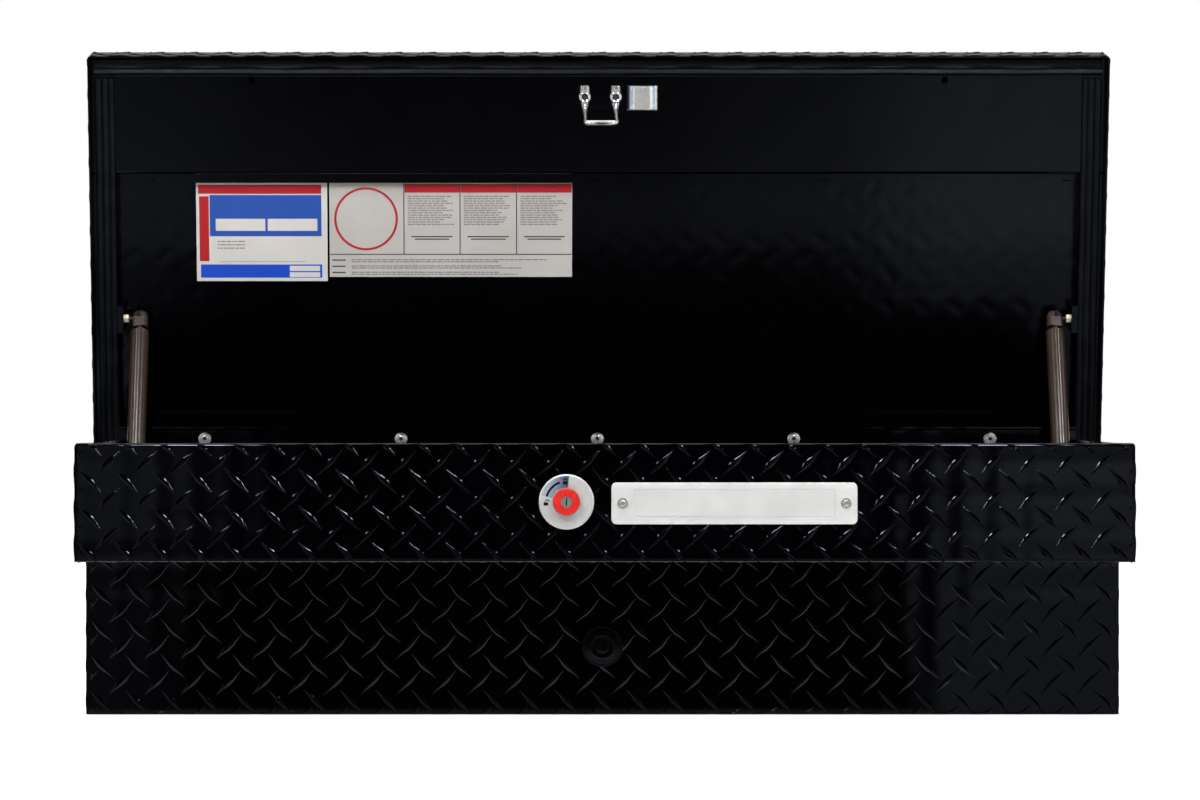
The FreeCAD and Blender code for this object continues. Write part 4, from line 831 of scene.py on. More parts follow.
@dataclass(frozen=True)
class TreadField:
    """Square lattice of lugs on a developed sheet, in its across and running-length coordinates."""

    across: Pair
    running: Pair
    rising: Pair
    falling: Pair
    bare: tuple[Triple, ...] = ()
    lug: Lug = field(default_factory=Lug)
    cut: float = 11 * MM

    def centres(self, start: Pair) -> np.ndarray:
        """Lattice points near the field: start + pitch times whole numbers, without the bare discs."""
        axes = []
        for low, high, first in ((*self.across, start[0]), (*self.running, start[1])):
            index = np.arange(math.ceil((low - self.cut - first) / TREAD_PITCH),
                              math.floor((high + self.cut - first) / TREAD_PITCH) + 1)
            axes.append(first + TREAD_PITCH * index)
        spots = np.stack(np.meshgrid(*axes, indexing="ij"), axis=-1).reshape(-1, 2)
        for x, t, radius in self.bare:
            spots = spots[np.hypot(spots[:, 0] - x, spots[:, 1] - t) > radius]
        return spots

    def lugs(self) -> tuple[np.ndarray, np.ndarray, np.ndarray]:
        """All lugs: across and running coordinates, held inside the field, and heights.

        Returns:
            Three arrays (lugs, 10, 8).
        """
        along, aside, rise = self.lug.shape()
        half = math.sqrt(0.5)
        rows, lengths = [], []
        for lean, start in ((Lean.RISING, self.rising), (Lean.FALLING, self.falling)):
            spots = self.centres(start)
            rows.append(spots[:, 0, None, None] + half * (along + aside * lean.value))
            lengths.append(spots[:, 1, None, None] + half * (aside - along * lean.value))
        x = np.clip(np.concatenate(rows), *self.across)
        t = np.clip(np.concatenate(lengths), *self.running)
        return x, t, np.broadcast_to(rise, x.shape)

    def folded(self, line: FoldedLine) -> np.ndarray:
        """All lugs on a folded sheet: array (lugs, 10, 8, 3) of across and the line's two coordinates."""
        x, t, rise = self.lugs()
        return np.concatenate([x[..., None], line.at(t, rise)], axis=-1)


@dataclass
class TreadSheets:
    """Pressed lugs on every outer face of the tread sheets."""

    bend: float = 4 * MM
    front_falling: Pair = (-562.2 * MM, 304.9 * MM)
    tub_rising: Pair = (-579.0 * MM, 197.5 * MM)
    tub_falling: Pair = (-561.7 * MM, 175.2 * MM)
    rear_lattice: tuple[Pair, Pair] = ((0.0, 12 * MM), (20 * MM, 32 * MM))
    panel_lattice: tuple[Pair, Pair] = ((6 * MM, 14 * MM), (26 * MM, 34 * MM))
    lid_lattice: tuple[Pair, Pair] = ((-581 * MM, 16 * MM), (-561 * MM, 36 * MM))
    skirt_lattice: tuple[Pair, Pair] = ((16 * MM, 9 * MM), (36 * MM, 29 * MM))
    margin: float = 3 * MM
    rim_run: float = 10 * MM
    floor_run: float = 20 * MM
    band_reach: float = 250 * MM
    plug_clear: float = 21 * MM
    lid_sheet_top: float = 48 * MM
    lid_front: float = 470 * MM
    lid_rear: float = -6.4 * MM

    def build(self) -> None:
        """Makes the lugs of the front band, the tub, both ends and the lid."""
        self.front_band()
        self.tub()
        for side, word in SIDES:
            self.end(side, word)
        self.lid()

    def press(self, name: str, body: Body, slot: str, lugs: np.ndarray, flip: bool = False) -> None:
        """Builds one sheet's lugs as a piece."""
        Surface().grid(lugs, flip=flip).build(name, body, slot, [TREAD])

    def front_band(self) -> None:
        """Band and shelf: the line runs down the band from half-way round the rim's bend, then back below."""
        band = Extent.of("front_apron", "left_end_panel")
        tub_front = Extent.of("tub_wrap").low[1]
        top, face = band.high[2], band.low[1]
        shelf = top - SHELF_DROP
        corners = ((face + self.rim_run, top), (face, top), (face, shelf), (tub_front, shelf))
        line = FoldedLine(corners, self.bend)
        bend_length = self.bend * math.pi / 2
        bend_end = self.rim_run - self.bend + bend_length
        running = (bend_end - bend_length / 2, bend_end + self.band_reach)
        rising, falling = ((x, bend_end + (top - self.bend - height))
                           for x, height in (BAND_RISING, self.front_falling))
        across = (band.low[0] + self.margin, -band.low[0] - self.margin)
        lattice = TreadField(across, running, rising, falling)
        self.press("band_tread", Body.BOX, "apron_tread", lattice.folded(line))

    def tub(self) -> None:
        """Tub front below the shelf and the rear wall; the floor stays smooth, so the box stands flat."""
        wrap = Extent.of("tub_wrap")
        plug = Extent.of("tub_plug").centre
        width = wrap.high[0] - self.margin
        shelf = Extent.of("front_apron").high[2] - SHELF_DROP
        face, rear = wrap.low[1], wrap.high[1]
        line = FoldedLine(((face, shelf), (face, 0.0), (face + self.floor_run, 0.0)), self.bend)
        starts = ((x, shelf - height) for x, height in (self.tub_rising, self.tub_falling))
        lattice = TreadField((-width, width), (0.0, shelf - self.bend * 0.6), *starts,
                             bare=((plug[0], shelf - plug[2], self.plug_clear),))
        self.press("tub_front_tread", Body.BOX, "tub_tread", lattice.folded(line))
        line = FoldedLine(((rear, 0.0), (rear, wrap.high[2])), self.bend)
        below_hinge = Extent.of("hinge_body_leaf").low[2] - self.margin
        lattice = TreadField((-width, width), (self.bend, below_hinge), *self.rear_lattice)
        self.press("tub_rear_tread", Body.BOX, "tub_tread", lattice.folded(line))

    def end(self, side: int, word: str) -> None:
        """Outer face of one end: the lattice over its L outline, with lugs cut where they meet the step.

        Args:
            side: -1 for the left end, 1 for the right one.
            word: The side in words.
        """
        panel = Extent.of(f"{word}_end_panel")
        keep = self.bend + 1 * MM
        low, high = panel.low[1:] + keep, panel.high[1:] - keep
        y, z, rise = TreadField((low[0], high[0]), (low[1], high[1]), *self.panel_lattice).lugs()
        inner_y = Extent.of("tub_wrap").low[1] + keep
        inner_z = panel.high[2] - SHELF_DROP + keep
        outside = (y < inner_y) & (z < inner_z)
        sideways = (inner_y - y) < (inner_z - z)
        kept = ~outside.all(axis=(1, 2))
        y = np.where(outside & sideways, inner_y, y)[kept]
        z = np.where(outside & ~sideways, inner_z, z)[kept]
        face = panel.high[0] if side > 0 else panel.low[0]
        lugs = np.stack([face + side * rise[kept], y, z], axis=-1)
        self.press(f"{word}_end_tread", Body.BOX, f"{word}_end_black", lugs, flip=side > 0)

    def lid(self) -> None:
        """Plate with its front and rear skirts across the hinge, then the two side skirts."""
        half = Extent.of("lid_shell").high[0]
        front, rear, top = self.lid_front, self.lid_rear, self.lid_sheet_top
        line = FoldedLine(((front, 0.0), (front, top), (rear, top), (rear, 0.0)), self.bend)
        total = line.trace()[0][-1]
        lattice = TreadField((-half + self.bend, half - self.bend), (self.margin, total - self.margin),
                             *self.lid_lattice)
        self.press("lid_tread_lugs", Body.LID, "lid_tread", LID.place(lattice.folded(line)), flip=True)
        lattice = TreadField((rear + self.bend, front - self.bend), (self.margin, top - self.bend),
                             *self.skirt_lattice)
        s, n, rise = lattice.lugs()
        for side, word in SIDES:
            lugs = LID.place(np.stack([side * (half + rise), s, n], axis=-1))
            self.press(f"lid_{word}_tread", Body.LID, "lid_tread", lugs, flip=side < 0)


def rounded_ring(half: Pair, radius: float, steps: int = 6) -> np.ndarray:
    """Outline of a rectangle with round corners: corner centre + radius * (cos a, sin a), counter-clockwise.

    Args:
        half: Half of the width and of the height.
        radius: Corner radius.
        steps: Points in each corner.

    Returns:
        Array (4 * steps, 2).
    """
    signs = np.array([[1, 1], [-1, 1], [-1, -1], [1, -1]])
    centres = signs * (np.array(half) - radius)
    angle = np.arange(4)[:, None] * math.pi / 2 + np.linspace(0, math.pi / 2, steps)
    arc = np.stack([np.cos(angle), np.sin(angle)], axis=-1)
    return (centres[:, None] + radius * arc).reshape(-1, 2)


@dataclass
class Nameplate:
    """Blank satin plate with bevelled edges, an engraved border and two pan-headed rivets."""

    corner: float = 5.5 * MM
    panel_corner: float = 4 * MM
    edge: float = 0.4 * MM
    groove: float = 0.9 * MM
    groove_side: float = 0.15 * MM
    depth: float = 0.35 * MM
    panel_inset: Pair = (24 * MM, 7.5 * MM)
    rivet_spots: tuple[Pair, ...] = ((19.4 * MM, 240.3 * MM), (263.0 * MM, 240.3 * MM))
    rivet_radius: float = 6 * MM
    rivet_profile: tuple[Pair, ...] = (
        (1, 0), (1, 0.12), (0.95, 0.32), (0.82, 0.38), (0.74, 0.12), (0.7, 0.42), (0.6, 0.8),
        (0.46, 0.98), (0.3, 1), (0.24, 0.7), (0, 0.62))
    shank: float = 0.45

    def build(self) -> None:
        """Makes the plate and its rivets."""
        self.plate()
        self.rivets()

    def plate(self) -> None:
        """Rings of a rounded rectangle, each drawn in from the edge and set to its height, then a face."""
        box = Extent.of("nameplate")
        half = (box.high - box.low)[[0, 2]] / 2
        thick = box.high[1] - box.low[1]
        bevel = self.edge * 0.3
        rims = ((0.0, 0.0), (0.0, thick - self.edge), (bevel, thick - bevel), (self.edge, thick))
        rings = [self.lay(rounded_ring(half - inset, self.corner - inset), box, height)
                 for inset, height in rims]
        shape = Surface().grid(np.array(rings), around=True, flip=True).face(rings[0])
        panel = half - self.panel_inset
        cuts = ((0.0, 0.0), (self.groove_side, self.depth), (self.groove, self.depth),
                (self.groove + self.groove_side, 0.0))
        rings = [rings[-1], *(self.lay(rounded_ring(panel - inset, self.panel_corner), box, thick - sink)
                              for inset, sink in cuts)]
        shape.grid(np.array(rings), around=True, flip=True).face(rings[-1], flip=True)
        shape.build("nameplate_blank", Body.BOX, "plate_satin", [SATIN], replaces=("nameplate",),
                    outward=True)

    def lay(self, ring: np.ndarray, box: Extent, height: float) -> np.ndarray:
        """Puts a flat ring on the band's face at a height above it."""
        across, _, up = box.centre
        depth = np.full(len(ring), box.high[1] - height)
        return np.stack([across + ring[:, 0], depth, up + ring[:, 1]], axis=-1)

    def rivets(self) -> None:
        """Pan heads: a low rim, a shallow groove and a dome, with the shank behind."""
        box = Extent.of("nameplate_rivets")
        plate = Extent.of("nameplate").low[1]
        back = box.high[1] - plate
        shank = self.shank * self.rivet_radius
        head = np.array(self.rivet_profile) * (self.rivet_radius, plate - box.low[1])
        profile = np.concatenate([[(0, -back), (shank, -back), (shank, 0)], head])
        shape = Surface()
        for x, z in self.rivet_spots:
            shape.lathe(profile, np.array([x, plate, z]), FORWARD)
        shape.build("nameplate_rivet_heads", Body.BOX, "plate_rivet_steel", [RIVET_STEEL],
                    replaces=("nameplate_rivets",), outward=True)


@dataclass
class HingeRivets:
    """Large-flange blind rivets through the rear wall: flange, raised ring, a hole inked near-black as
    painted shade, tail behind.
    """

    spacing: float = 233.7 * MM
    height: float = 306.8 * MM
    flange: float = 7.7 * MM
    head: float = 2.6 * MM
    shank: float = 0.3
    tail_bulge: Pair = (0.36, 1.2 * MM)
    tail_start: float = 4 * MM
    profile: tuple[Pair, ...] = (
        (0.3, 0), (1, 0), (1, 0.2), (0.95, 0.36), (0.6, 0.5), (0.55, 0.42), (0.5, 0.55),
        (0.46, 0.93), (0.4, 1), (0.3, 0.96))
    pit: tuple[Pair, ...] = ((0.3, 0.96), (0.24, 0.5), (0.14, 0.35), (0.12, 0.6), (0, 0.65))

    def build(self) -> None:
        """Makes the five rivets of the wall's row."""
        box = Extent.of("hinge_body_rivets")
        wall = box.low[1] + self.head
        scale = np.array([self.flange, wall - box.low[1]])
        tail = box.high[1] - wall
        shank = self.shank * self.flange
        bulge, rise = self.tail_bulge
        stem = [(0, -tail), (shank, -tail), (bulge * self.flange, -tail + rise), (shank, -self.tail_start)]
        profile = np.concatenate([stem, np.array(self.profile) * scale])
        shape = Surface()
        for index in range(-2, 3):
            centre = np.array([index * self.spacing, wall, self.height])
            shape.lathe(profile, centre, FORWARD, steps=32)
            # The pit is inked near-black: painted shade in the hole.
            shape.lathe(np.array(self.pit) * scale, centre, FORWARD, steps=32, ink=1)
        shape.build("hinge_rivet_heads", Body.BOX, "wall_rivet_zinc", [BRIGHT_ZINC, RECESS_SHADE],
                    replaces=("hinge_body_rivets",), outward=True)


class Sheet:
    """Flat printed areas laid on a face, each layer a few hundredths of a millimetre over the last."""

    lift_step = 0.04 * MM
    dash = (2.2, 8.5)
    dash_gap = 0.9
    dash_height = 1.35
    dashes = 60

    def __init__(self, place: Callable[[np.ndarray], np.ndarray]) -> None:
        """Keeps the function that turns (x, y, lift) into the frame.

        Args:
            place: Takes an array of across, up and lift in metres, and returns frame points.
        """
        self.place = place
        self.shape = Surface()

    def band(self, low: Pair, high: Pair, ink: int, layer: int = 1, radius: float = 0.5) -> None:
        """A rectangle with slightly round corners between two corners, in millimetres.

        Args:
            low: Lower left corner.
            high: Upper right corner.
            ink: Material number.
            layer: How many layers up it lies.
            radius: Corner radius.
        """
        low_m, high_m = np.array(low) * MM, np.array(high) * MM
        half = (high_m - low_m) / 2
        outline = rounded_ring(half, min(radius * MM, *(half * 0.95)), 3) + (low_m + high_m) / 2
        lift = np.full((len(outline), 1), layer * self.lift_step)
        self.shape.face(self.place(np.concatenate([outline, lift], axis=1)), ink=ink)

    def words(self, low: Pair, reach: float, spread: np.random.Generator, ink: int) -> None:
        """A row of short dashes that stands for a line of small print, in millimetres.

        Args:
            low: Lower left corner of the first dash.
            reach: Where the row ends.
            spread: Source of the dashes' lengths.
            ink: Material number.
        """
        lengths = spread.uniform(*self.dash, self.dashes)
        starts = low[0] + np.concatenate([[0.0], np.cumsum(lengths + self.dash_gap)[:-1]])
        for start, length in zip(starts, lengths):
            if start + length < reach:
                self.band((start, low[1]), (start + length, low[1] + self.dash_height), ink, radius=0.3)

    def ring(self, centre: Pair, radius: float, width: float, ink: int, layer: int = 1,
             span: Pair = (0, 360), steps: int = 64) -> None:
        """A flat ring or arc: quads between two circles, in millimetres and degrees.

        Args:
            centre: Its centre.
            radius: Radius of its middle line.
            width: From the inner circle to the outer one.
            ink: Material number.
            layer: How many layers up it lies.
            span: Where the arc starts and ends.
            steps: Points along it.
        """
        angle = np.radians(np.linspace(*span, steps))
        spoke = np.stack([np.cos(angle), np.sin(angle)], axis=-1)
        reach = np.array([radius - width / 2, radius + width / 2])[:, None, None]
        flat = (np.array(centre) + spoke * reach) * MM
        lift = np.full((2, steps, 1), layer * self.lift_step)
        self.shape.grid(self.place(np.concatenate([flat, lift], axis=-1)), flip=True, ink=ink)


@dataclass
class Cards:
    """Generic print on the two cards under the lid: bands, blank fields, rules and a plain ring; no words."""

    under: float = 45.7 * MM
    top: float = 314 * MM
    record_left: float = -477.5 * MM
    ruled_left: float = -319 * MM
    fields: tuple[float, ...] = (88.7, 155.5, 222.8, 289.0)
    seed: int = 11

    def build(self) -> None:
        """Prints both cards."""
        self.record_card()
        self.ruled_card()

    def sheet(self, left: float) -> Sheet:
        """A sheet whose origin is a card's upper left corner, x to the right and y up, under the lid's plate.

        Args:
            left: The card's left edge along the hinge.

        Returns:
            The sheet.
        """

        def place(points: np.ndarray) -> np.ndarray:
            """(across, up, lift) to the frame, with the lift towards the tub."""
            return LID.place(np.array([left, self.top, self.under]) + points * (1, 1, -1))

        return Sheet(place)

    def record_card(self) -> None:
        """Two red bands, a blue block with two blank fields, and a blue strip with two small ones."""
        card = self.sheet(self.record_left)
        blue, red, blank, grey, strip = range(5)
        card.band((2.5, -13), (149, -2), red)
        card.band((3.5, -94), (15, -16), red)
        card.band((16, -64), (149, -14.5), blue)
        card.band((23, -57.5), (82, -43), blank, 2)
        card.band((85, -57.5), (144, -43), blank, 2)
        card.band((4.8, -114), (149.5, -98), strip)
        card.band((110.8, -105.9), (147, -99.6), blank, 2)
        card.band((110.8, -113.2), (147, -107.4), blank, 2)
        card.band((28, -94.6), (130, -94.1), grey)
        spread = np.random.default_rng(self.seed)
        for row in (71, 75, 79):
            card.words((25, -row), 58, spread, grey)
        card.shape.build("record_card_print", Body.LID, "card_blue",
                         [INK_BLUE, INK_RED, CARD_WHITE, INK_GREY, INK_STRIP])

    def ruled_card(self) -> None:
        """A plain ring in the first field, ruled fields under red bands, and three rules across the foot."""
        card = self.sheet(self.ruled_left)
        red, dark, grey = range(3)
        spread = np.random.default_rng(self.seed)
        card.ring((43.6, -43.1), 36.6, 2.7, red)
        for left, right in zip(self.fields[:-1], self.fields[1:]):
            card.band((left + 0.8, -11.6), (right - 0.6, -0.8), red)
            for row in range(13):
                card.words((left + 4.5, -16.8 - 2.8 * row), right - 4 - spread.uniform(0, 16), spread, grey)
            for row in range(2):
                inset, low = 9 + 4 * row, -65.2 - 3 * row
                card.band((left + inset, low), (right - inset, low + 1.4), dark, radius=0.2)
        for edge in self.fields[:-1]:
            card.band((edge - 0.6, -85.6), (edge + 0.6, -0.6), dark, radius=0.1)
        card.band((0.6, -86.4), (288.4, -85.2), dark, radius=0.1)
        for row in range(3):
            low = -93.5 - 7.5 * row
            card.band((3, low), (19, low + 1.6), dark, radius=0.2)
            for line in (0.0, 2.4):
                card.words((26, -92.9 - 7.6 * row - line), 278 - spread.uniform(0, 90), spread, grey)
        card.shape.build("ruled_card_print", Body.LID, "card_red", [INK_RED, INK_DARK, INK_GREY])


@dataclass
class LockFace:
    """Generic dial on the lock's bezel: a blue-grey sector, an arc and two plain padlock shapes."""

    lift: float = 0.02 * MM
    padlocks: tuple[Triple, ...] = ((-22.4, -0.4, 1.6), (-1.4, 22.6, 0.0))

    def build(self) -> None:
        """Prints the dial just over the bezel's face."""
        box = Extent.of("lock_bezel")
        origin = np.array([box.centre[0], box.low[1] - self.lift, box.centre[2]])

        def place(points: np.ndarray) -> np.ndarray:
            """(right, up, lift) on the bezel's face, with the lift towards the viewer."""
            return origin + points[..., [0, 2, 1]] * (1, -1, 1)

        dial = Sheet(place)
        blue, black = range(2)
        dial.ring((0, 0), 21.9, 12.6, blue, 0, (84, 165), 30)
        dial.ring((0, 0), 22.3, 2.5, black, 1, (109, 165), 24)
        for x, y, swung in self.padlocks:
            dial.band((x - 2.6, y - 3.6), (x + 2.6, y), black, radius=0.3)
            dial.ring((x + swung, y + 0.7), 2.0, 1.2, black, 1, (0, 180), 12)
        dial.shape.build("dial_print", Body.BOX, "bezel_satin", [DIAL_BLUE, INK_BLACK])


@dataclass
class Welds:
    """Stitches that hold the channel under the lid's plate, seen as low beads along its rear foot."""

    spots: tuple[float, ...] = (-530, -257, -1.5, 268, 558)
    length: float = 12 * MM
    radius: float = 1.8 * MM
    foot: float = 318 * MM
    under: float = 46 * MM

    def build(self) -> None:
        """Half-round beads, a little flattened: the radius times sqrt(1 - u^2) * (1 + 0.12 sin 14u)."""
        u, v = np.meshgrid(np.linspace(-1, 1, 17), np.linspace(0, math.pi, 9), indexing="ij")
        swell = self.radius * np.sqrt(np.clip(1 - u**2, 0, 1)) * (1 + 0.12 * np.sin(14 * u))
        s = self.foot + swell * np.cos(v)
        n = self.under - 0.8 * swell * np.sin(v)
        shape = Surface()
        for spot in self.spots:
            shape.grid(LID.place(np.stack([spot * MM + u * self.length / 2, s, n], axis=-1)))
        shape.build("channel_weld_beads", Body.LID, "channel_black", [SMOOTH], outward=True)


def sweep(path: np.ndarray, radius: np.ndarray, across: np.ndarray, steps: int = 20) -> np.ndarray:
    """Tube round a path in one plane: point + radius * (cos a * across + sin a * (tangent x across)).

    Args:
        path: Array (k, 3) along the middle of the tube.
        radius: Array (k, steps) or (k, 1).
        across: Unit normal of the path's plane.
        steps: Points round the tube.

    Returns:
        Array (k, steps, 3).
    """
    tangent = np.gradient(path, axis=0)
    tangent /= np.linalg.norm(tangent, axis=1)[:, None]
    aside = np.cross(tangent, across)
    angle = np.linspace(0, 2 * math.pi, steps, endpoint=False)[:, None]
    spokes = np.cos(angle) * across + np.sin(angle) * aside[:, None]
    return path[:, None] + radius[..., None] * spokes


@dataclass
class Seals:
    """Foam strips of the lid's front and sides: uneven lobes along a slightly wandering line."""

    thick: float = 6.7 * MM
    wander: float = 0.21 * MM
    gap: float = 2.2 * MM
    sections: int = 90
    front_lobes: tuple[Pair, ...] = (
        (0, 0), (0, 0.72), (0.05, 0.93), (0.11, 0.85), (0.18, 0.6), (0.3, 0.62), (0.38, 0.75), (0.44, 1.0),
        (0.5, 0.96), (0.54, 0.62), (0.6, 0.6), (0.7, 0.84), (0.8, 0.86), (0.85, 0.5), (0.92, 0.34), (1, 0.3),
        (1, 0))
    side_lobes: tuple[Pair, ...] = (
        (0, 0), (0, 0.7), (0.05, 0.9), (0.14, 1.0), (0.24, 0.95), (0.3, 0.66), (0.34, 0.7), (0.42, 0.97),
        (0.54, 1.0), (0.6, 0.9), (0.64, 0.62), (0.68, 0.66), (0.76, 0.94), (0.88, 1.0), (0.96, 0.93),
        (1, 0.7), (1, 0))

    def build(self) -> None:
        """Makes the front strip and both side strips."""
        low, high = self.local("front_seal")
        self.strip("front", self.front_lobes, (low[0], high[0]), (high[1], low[1]), False)
        for side, word in SIDES:
            low, high = self.local(f"{word}_seal")
            inner, outer = (low[0], high[0]) if side > 0 else (high[0], low[0])
            self.strip(word, self.side_lobes, (low[1], high[1] - self.gap), (inner, outer), True)

    def local(self, node: str) -> tuple[np.ndarray, np.ndarray]:
        """Lowest and highest (x, s) of a node in the lid's own directions."""
        mesh = frame["nodes"][node]
        turn = np.array(mesh.matrix_world)
        spots = np.array([vertex.co[:] for vertex in mesh.data.vertices])
        spots = spots @ turn[:3, :3].T + turn[:3, 3] - LID.hinge
        flat = np.stack([spots[:, 0], spots @ LID.along], axis=-1)
        return flat.min(axis=0), flat.max(axis=0)

    def strip(self, word: str, lobes: tuple[Pair, ...], length: Pair, width: Pair, sideways: bool) -> None:
        """One strip: the lobes' section carried along its length s.

        It wanders across by sin 23s + 0.6 sin(57s + 1), and its height swells by 3 % with sin 71s.

        Args:
            word: Which seal it is.
            lobes: Section as fractions of the width and of the thickness.
            length: Start and end along the strip.
            width: Start and end across it.
            sideways: True for a strip that runs from the hinge to the front.
        """
        run = np.linspace(*length, self.sections)[:, None]
        share, loose = np.array(lobes).T[:, None]
        wave = np.sin(run * 23) + 0.6 * np.sin(run * 57 + 1)
        across = width[0] + (width[1] - width[0]) * share + self.wander * wave * loose
        rise = loose * self.thick * (1 + 0.03 * np.sin(run * 71 + 6 * share))
        along = np.broadcast_to(run, rise.shape)
        plane = (across, along) if sideways else (along, across)
        rings = LID.place(np.stack([*plane, LID_PANEL - np.minimum(rise, self.thick)], axis=-1))
        Surface().tube(rings).build(f"{word}_seal_lobes", Body.LID, f"{word}_foam", [FOAM],
                                    replaces=(f"{word}_seal",), sharp=60, outward=True)


@dataclass
class Striker:
    """Cast striker: stamped feet with ring bosses, tapered legs, a worn bar and the rings' rivets; the
    bosses' wells and their rivets are inked near-black zinc as painted shade.
    """

    middle: float = 2.5 * MM
    half_span: float = 18.25 * MM
    rivet_row: float = 420 * MM
    root: Pair = (405 * MM, 16.5 * MM)
    bar: Pair = (397.5 * MM, -51 * MM)
    bend: float = 6 * MM
    outline: tuple[Triple, ...] = (
        (433.6, 4.6, 0), (433.4, 5.0, 2.2), (432.4, 5.4, 2.6), (428, 5.7, 2.6), (424.6, 6.0, 2.6),
        (420, 5.6, 2.6), (415.6, 5.0, 2.6), (413.4, 4.9, 3.4), (411, 4.5, 4.2), (408, 3.6, 5.4),
        (404.5, 2.9, 6.2), (401.4, 2.4, 5.0), (401, 2.0, 0))
    rivet: tuple[Pair, ...] = (
        (0, -4.4), (3.6, -4.4), (4.2, -3.4), (3.4, -2.1), (2.4, -1.9), (2.4, 2.6), (3.5, 2.7), (3.3, 3.1),
        (2.6, 3.2), (2.2, 2.7), (1.4, 3.4), (0.6, 3.0), (0, 3.6))
    boss: tuple[Pair, ...] = (
        (3.7, 1.0), (3.7, 4.6), (4.1, 5.4), (5.0, 5.8), (6.0, 5.6), (6.8, 4.8), (7.2, 3.4), (7.2, 1),
        (3.7, 1))
    well: tuple[Pair, ...] = ((0, 2.4), (3.9, 2.4), (3.9, 3.0), (2.8, 2.9), (0, 2.8))
    leg_stages: tuple[float, ...] = (0, 0.3, 0.8, 0.93, 1)
    leg_radii: tuple[float, ...] = (2.6, 1.8, 1.6, 2.4, 3.1)
    worn_half: float = 9 * MM
    scuff: Triple = (9.5 * MM, -2.95 * MM, -0.7 * MM)
    scuff_radius: float = 0.75 * MM

    def build(self) -> None:
        """Makes the loop with its feet, then the rivets."""
        shape, rivets = Surface(), Surface()
        for side, _ in SIDES:
            x = self.middle + side * self.half_span
            seat = LID.place(np.array([x, self.rivet_row, LID_PANEL]))
            self.foot(shape, x)
            shape.lathe(np.array(self.boss) * MM, seat, -LID.out, steps=32, ink=1)
            # Each boss's well is inked near-black: painted shade.
            shape.lathe(np.array(self.well) * MM, seat, -LID.out, steps=24, ink=2)
            rivets.lathe(np.array(self.rivet) * MM, seat, -LID.out, steps=24)
        self.loop(shape)
        shape.build("striker_loop", Body.LID, "striker_zinc", [CAST_ZINC, BRIGHT_ZINC, SHADE_AND_SCUFF_ZINC],
                    replaces=("striker",), outward=True)
        # The rivet heads inside the bosses are inked near-black too: painted shade.
        rivets.build("striker_rivet_heads", Body.LID, "striker_rivet_zinc", [SHADE_AND_SCUFF_ZINC],
                     replaces=("striker_rivets",), outward=True)

    def foot(self, shape: Surface, x: float) -> None:
        """One foot: outline times (1 - |v|^6), with a slot, a cross groove and two neck grooves sunk into it.

        The outline gives half width and height along s, in millimetres; each groove is a bell, exp(-t^k).

        Args:
            shape: The surface that it joins.
            x: Its middle along the hinge.
        """
        known = np.array(self.outline)[::-1]
        s = np.linspace(known[0, 0], known[-1, 0], 49)[:, None]
        half = np.interp(s, known[:, 0], known[:, 1])
        rise = np.interp(s, known[:, 0], known[:, 2])
        v = np.linspace(-1, 1, 29)[None]
        across = v * half
        slot = 2.4 * np.exp(-(across / 0.8) ** 2 - ((s - 429.4) / 2.4) ** 4)
        cross = 0.7 * np.exp(-((s - 413.4) / 0.7) ** 2)
        necks = 2.6 * np.exp(-((np.abs(across) - 1.8) / 0.7) ** 2 - ((s - 409.5) / 2.2) ** 4)
        height = np.maximum(rise * (1 - np.abs(v) ** 6) - slot - cross - necks, 0) * (1 - np.abs(v) ** 20)
        for n in (LID_PANEL - height * MM, np.full_like(height, LID_PANEL)):
            spots = np.stack([x + across * MM, np.broadcast_to(s * MM, n.shape), n], axis=-1)
            shape.grid(LID.place(spots))

    def loop(self, shape: Surface) -> None:
        """Legs and cross bar: a planar path with two bends; the bar is worn hollow on the viewer's side.

        Args:
            shape: The surface that they join.
        """
        start, end = np.array(self.root), np.array(self.bar)
        reach = np.linalg.norm(end - start)
        down = (end - start) / reach
        flat = self.route(reach)
        spots = np.concatenate([self.middle + flat[:, :1], start + flat[:, 1:] * down], axis=1)
        path = LID.place(spots)
        lean = LID.place(np.array([0.0, *down])) - LID.hinge
        across = np.cross(ACROSS, lean)
        across /= np.linalg.norm(across)
        stages = np.array(self.leg_stages) * reach
        radius = np.interp(flat[:, 1], stages, np.array(self.leg_radii) * MM)[:, None]
        plain = sweep(path, np.ones_like(radius), across)
        facing = np.clip(-(plain - path[:, None])[..., 1], 0, 1)
        worn = np.exp(-(flat[:, :1] / self.worn_half) ** 4) * (flat[:, 1:] > reach - 0.1 * MM)
        shape.tube(sweep(path, radius * (1 - 0.3 * worn * facing**8), across), ink=1)
        half, forward, lower = self.scuff
        x = np.linspace(-1, 1, 15)[:, None]
        front = path[len(path) // 2] + np.array([0.0, forward, lower])
        thin = self.scuff_radius * np.sqrt(1.001 - x**2)
        shape.tube(sweep(front + x * half * ACROSS, thin, across, 10), ink=2)

    def route(self, reach: float) -> np.ndarray:
        """Middle line of the loop: down one leg, round a bend, along the bar, and its mirror image back up.

        Args:
            reach: From the legs' roots to the bar.

        Returns:
            Array (k, 2) of places across and down.
        """
        turn = np.linspace(math.pi, math.pi / 2, 9)
        leg = np.stack([np.full(12, -self.half_span), np.linspace(0, reach - self.bend, 12)], axis=-1)
        bend = np.stack([-self.half_span + self.bend + self.bend * np.cos(turn),
                         reach - self.bend + self.bend * np.sin(turn)], axis=-1)
        bar = np.stack([np.linspace(-self.half_span + self.bend, 0, 15), np.full(15, reach)], axis=-1)
        left = np.concatenate([leg, bend[1:], bar[1:]])
        return np.concatenate([left, (left * [-1, 1])[-2::-1]])


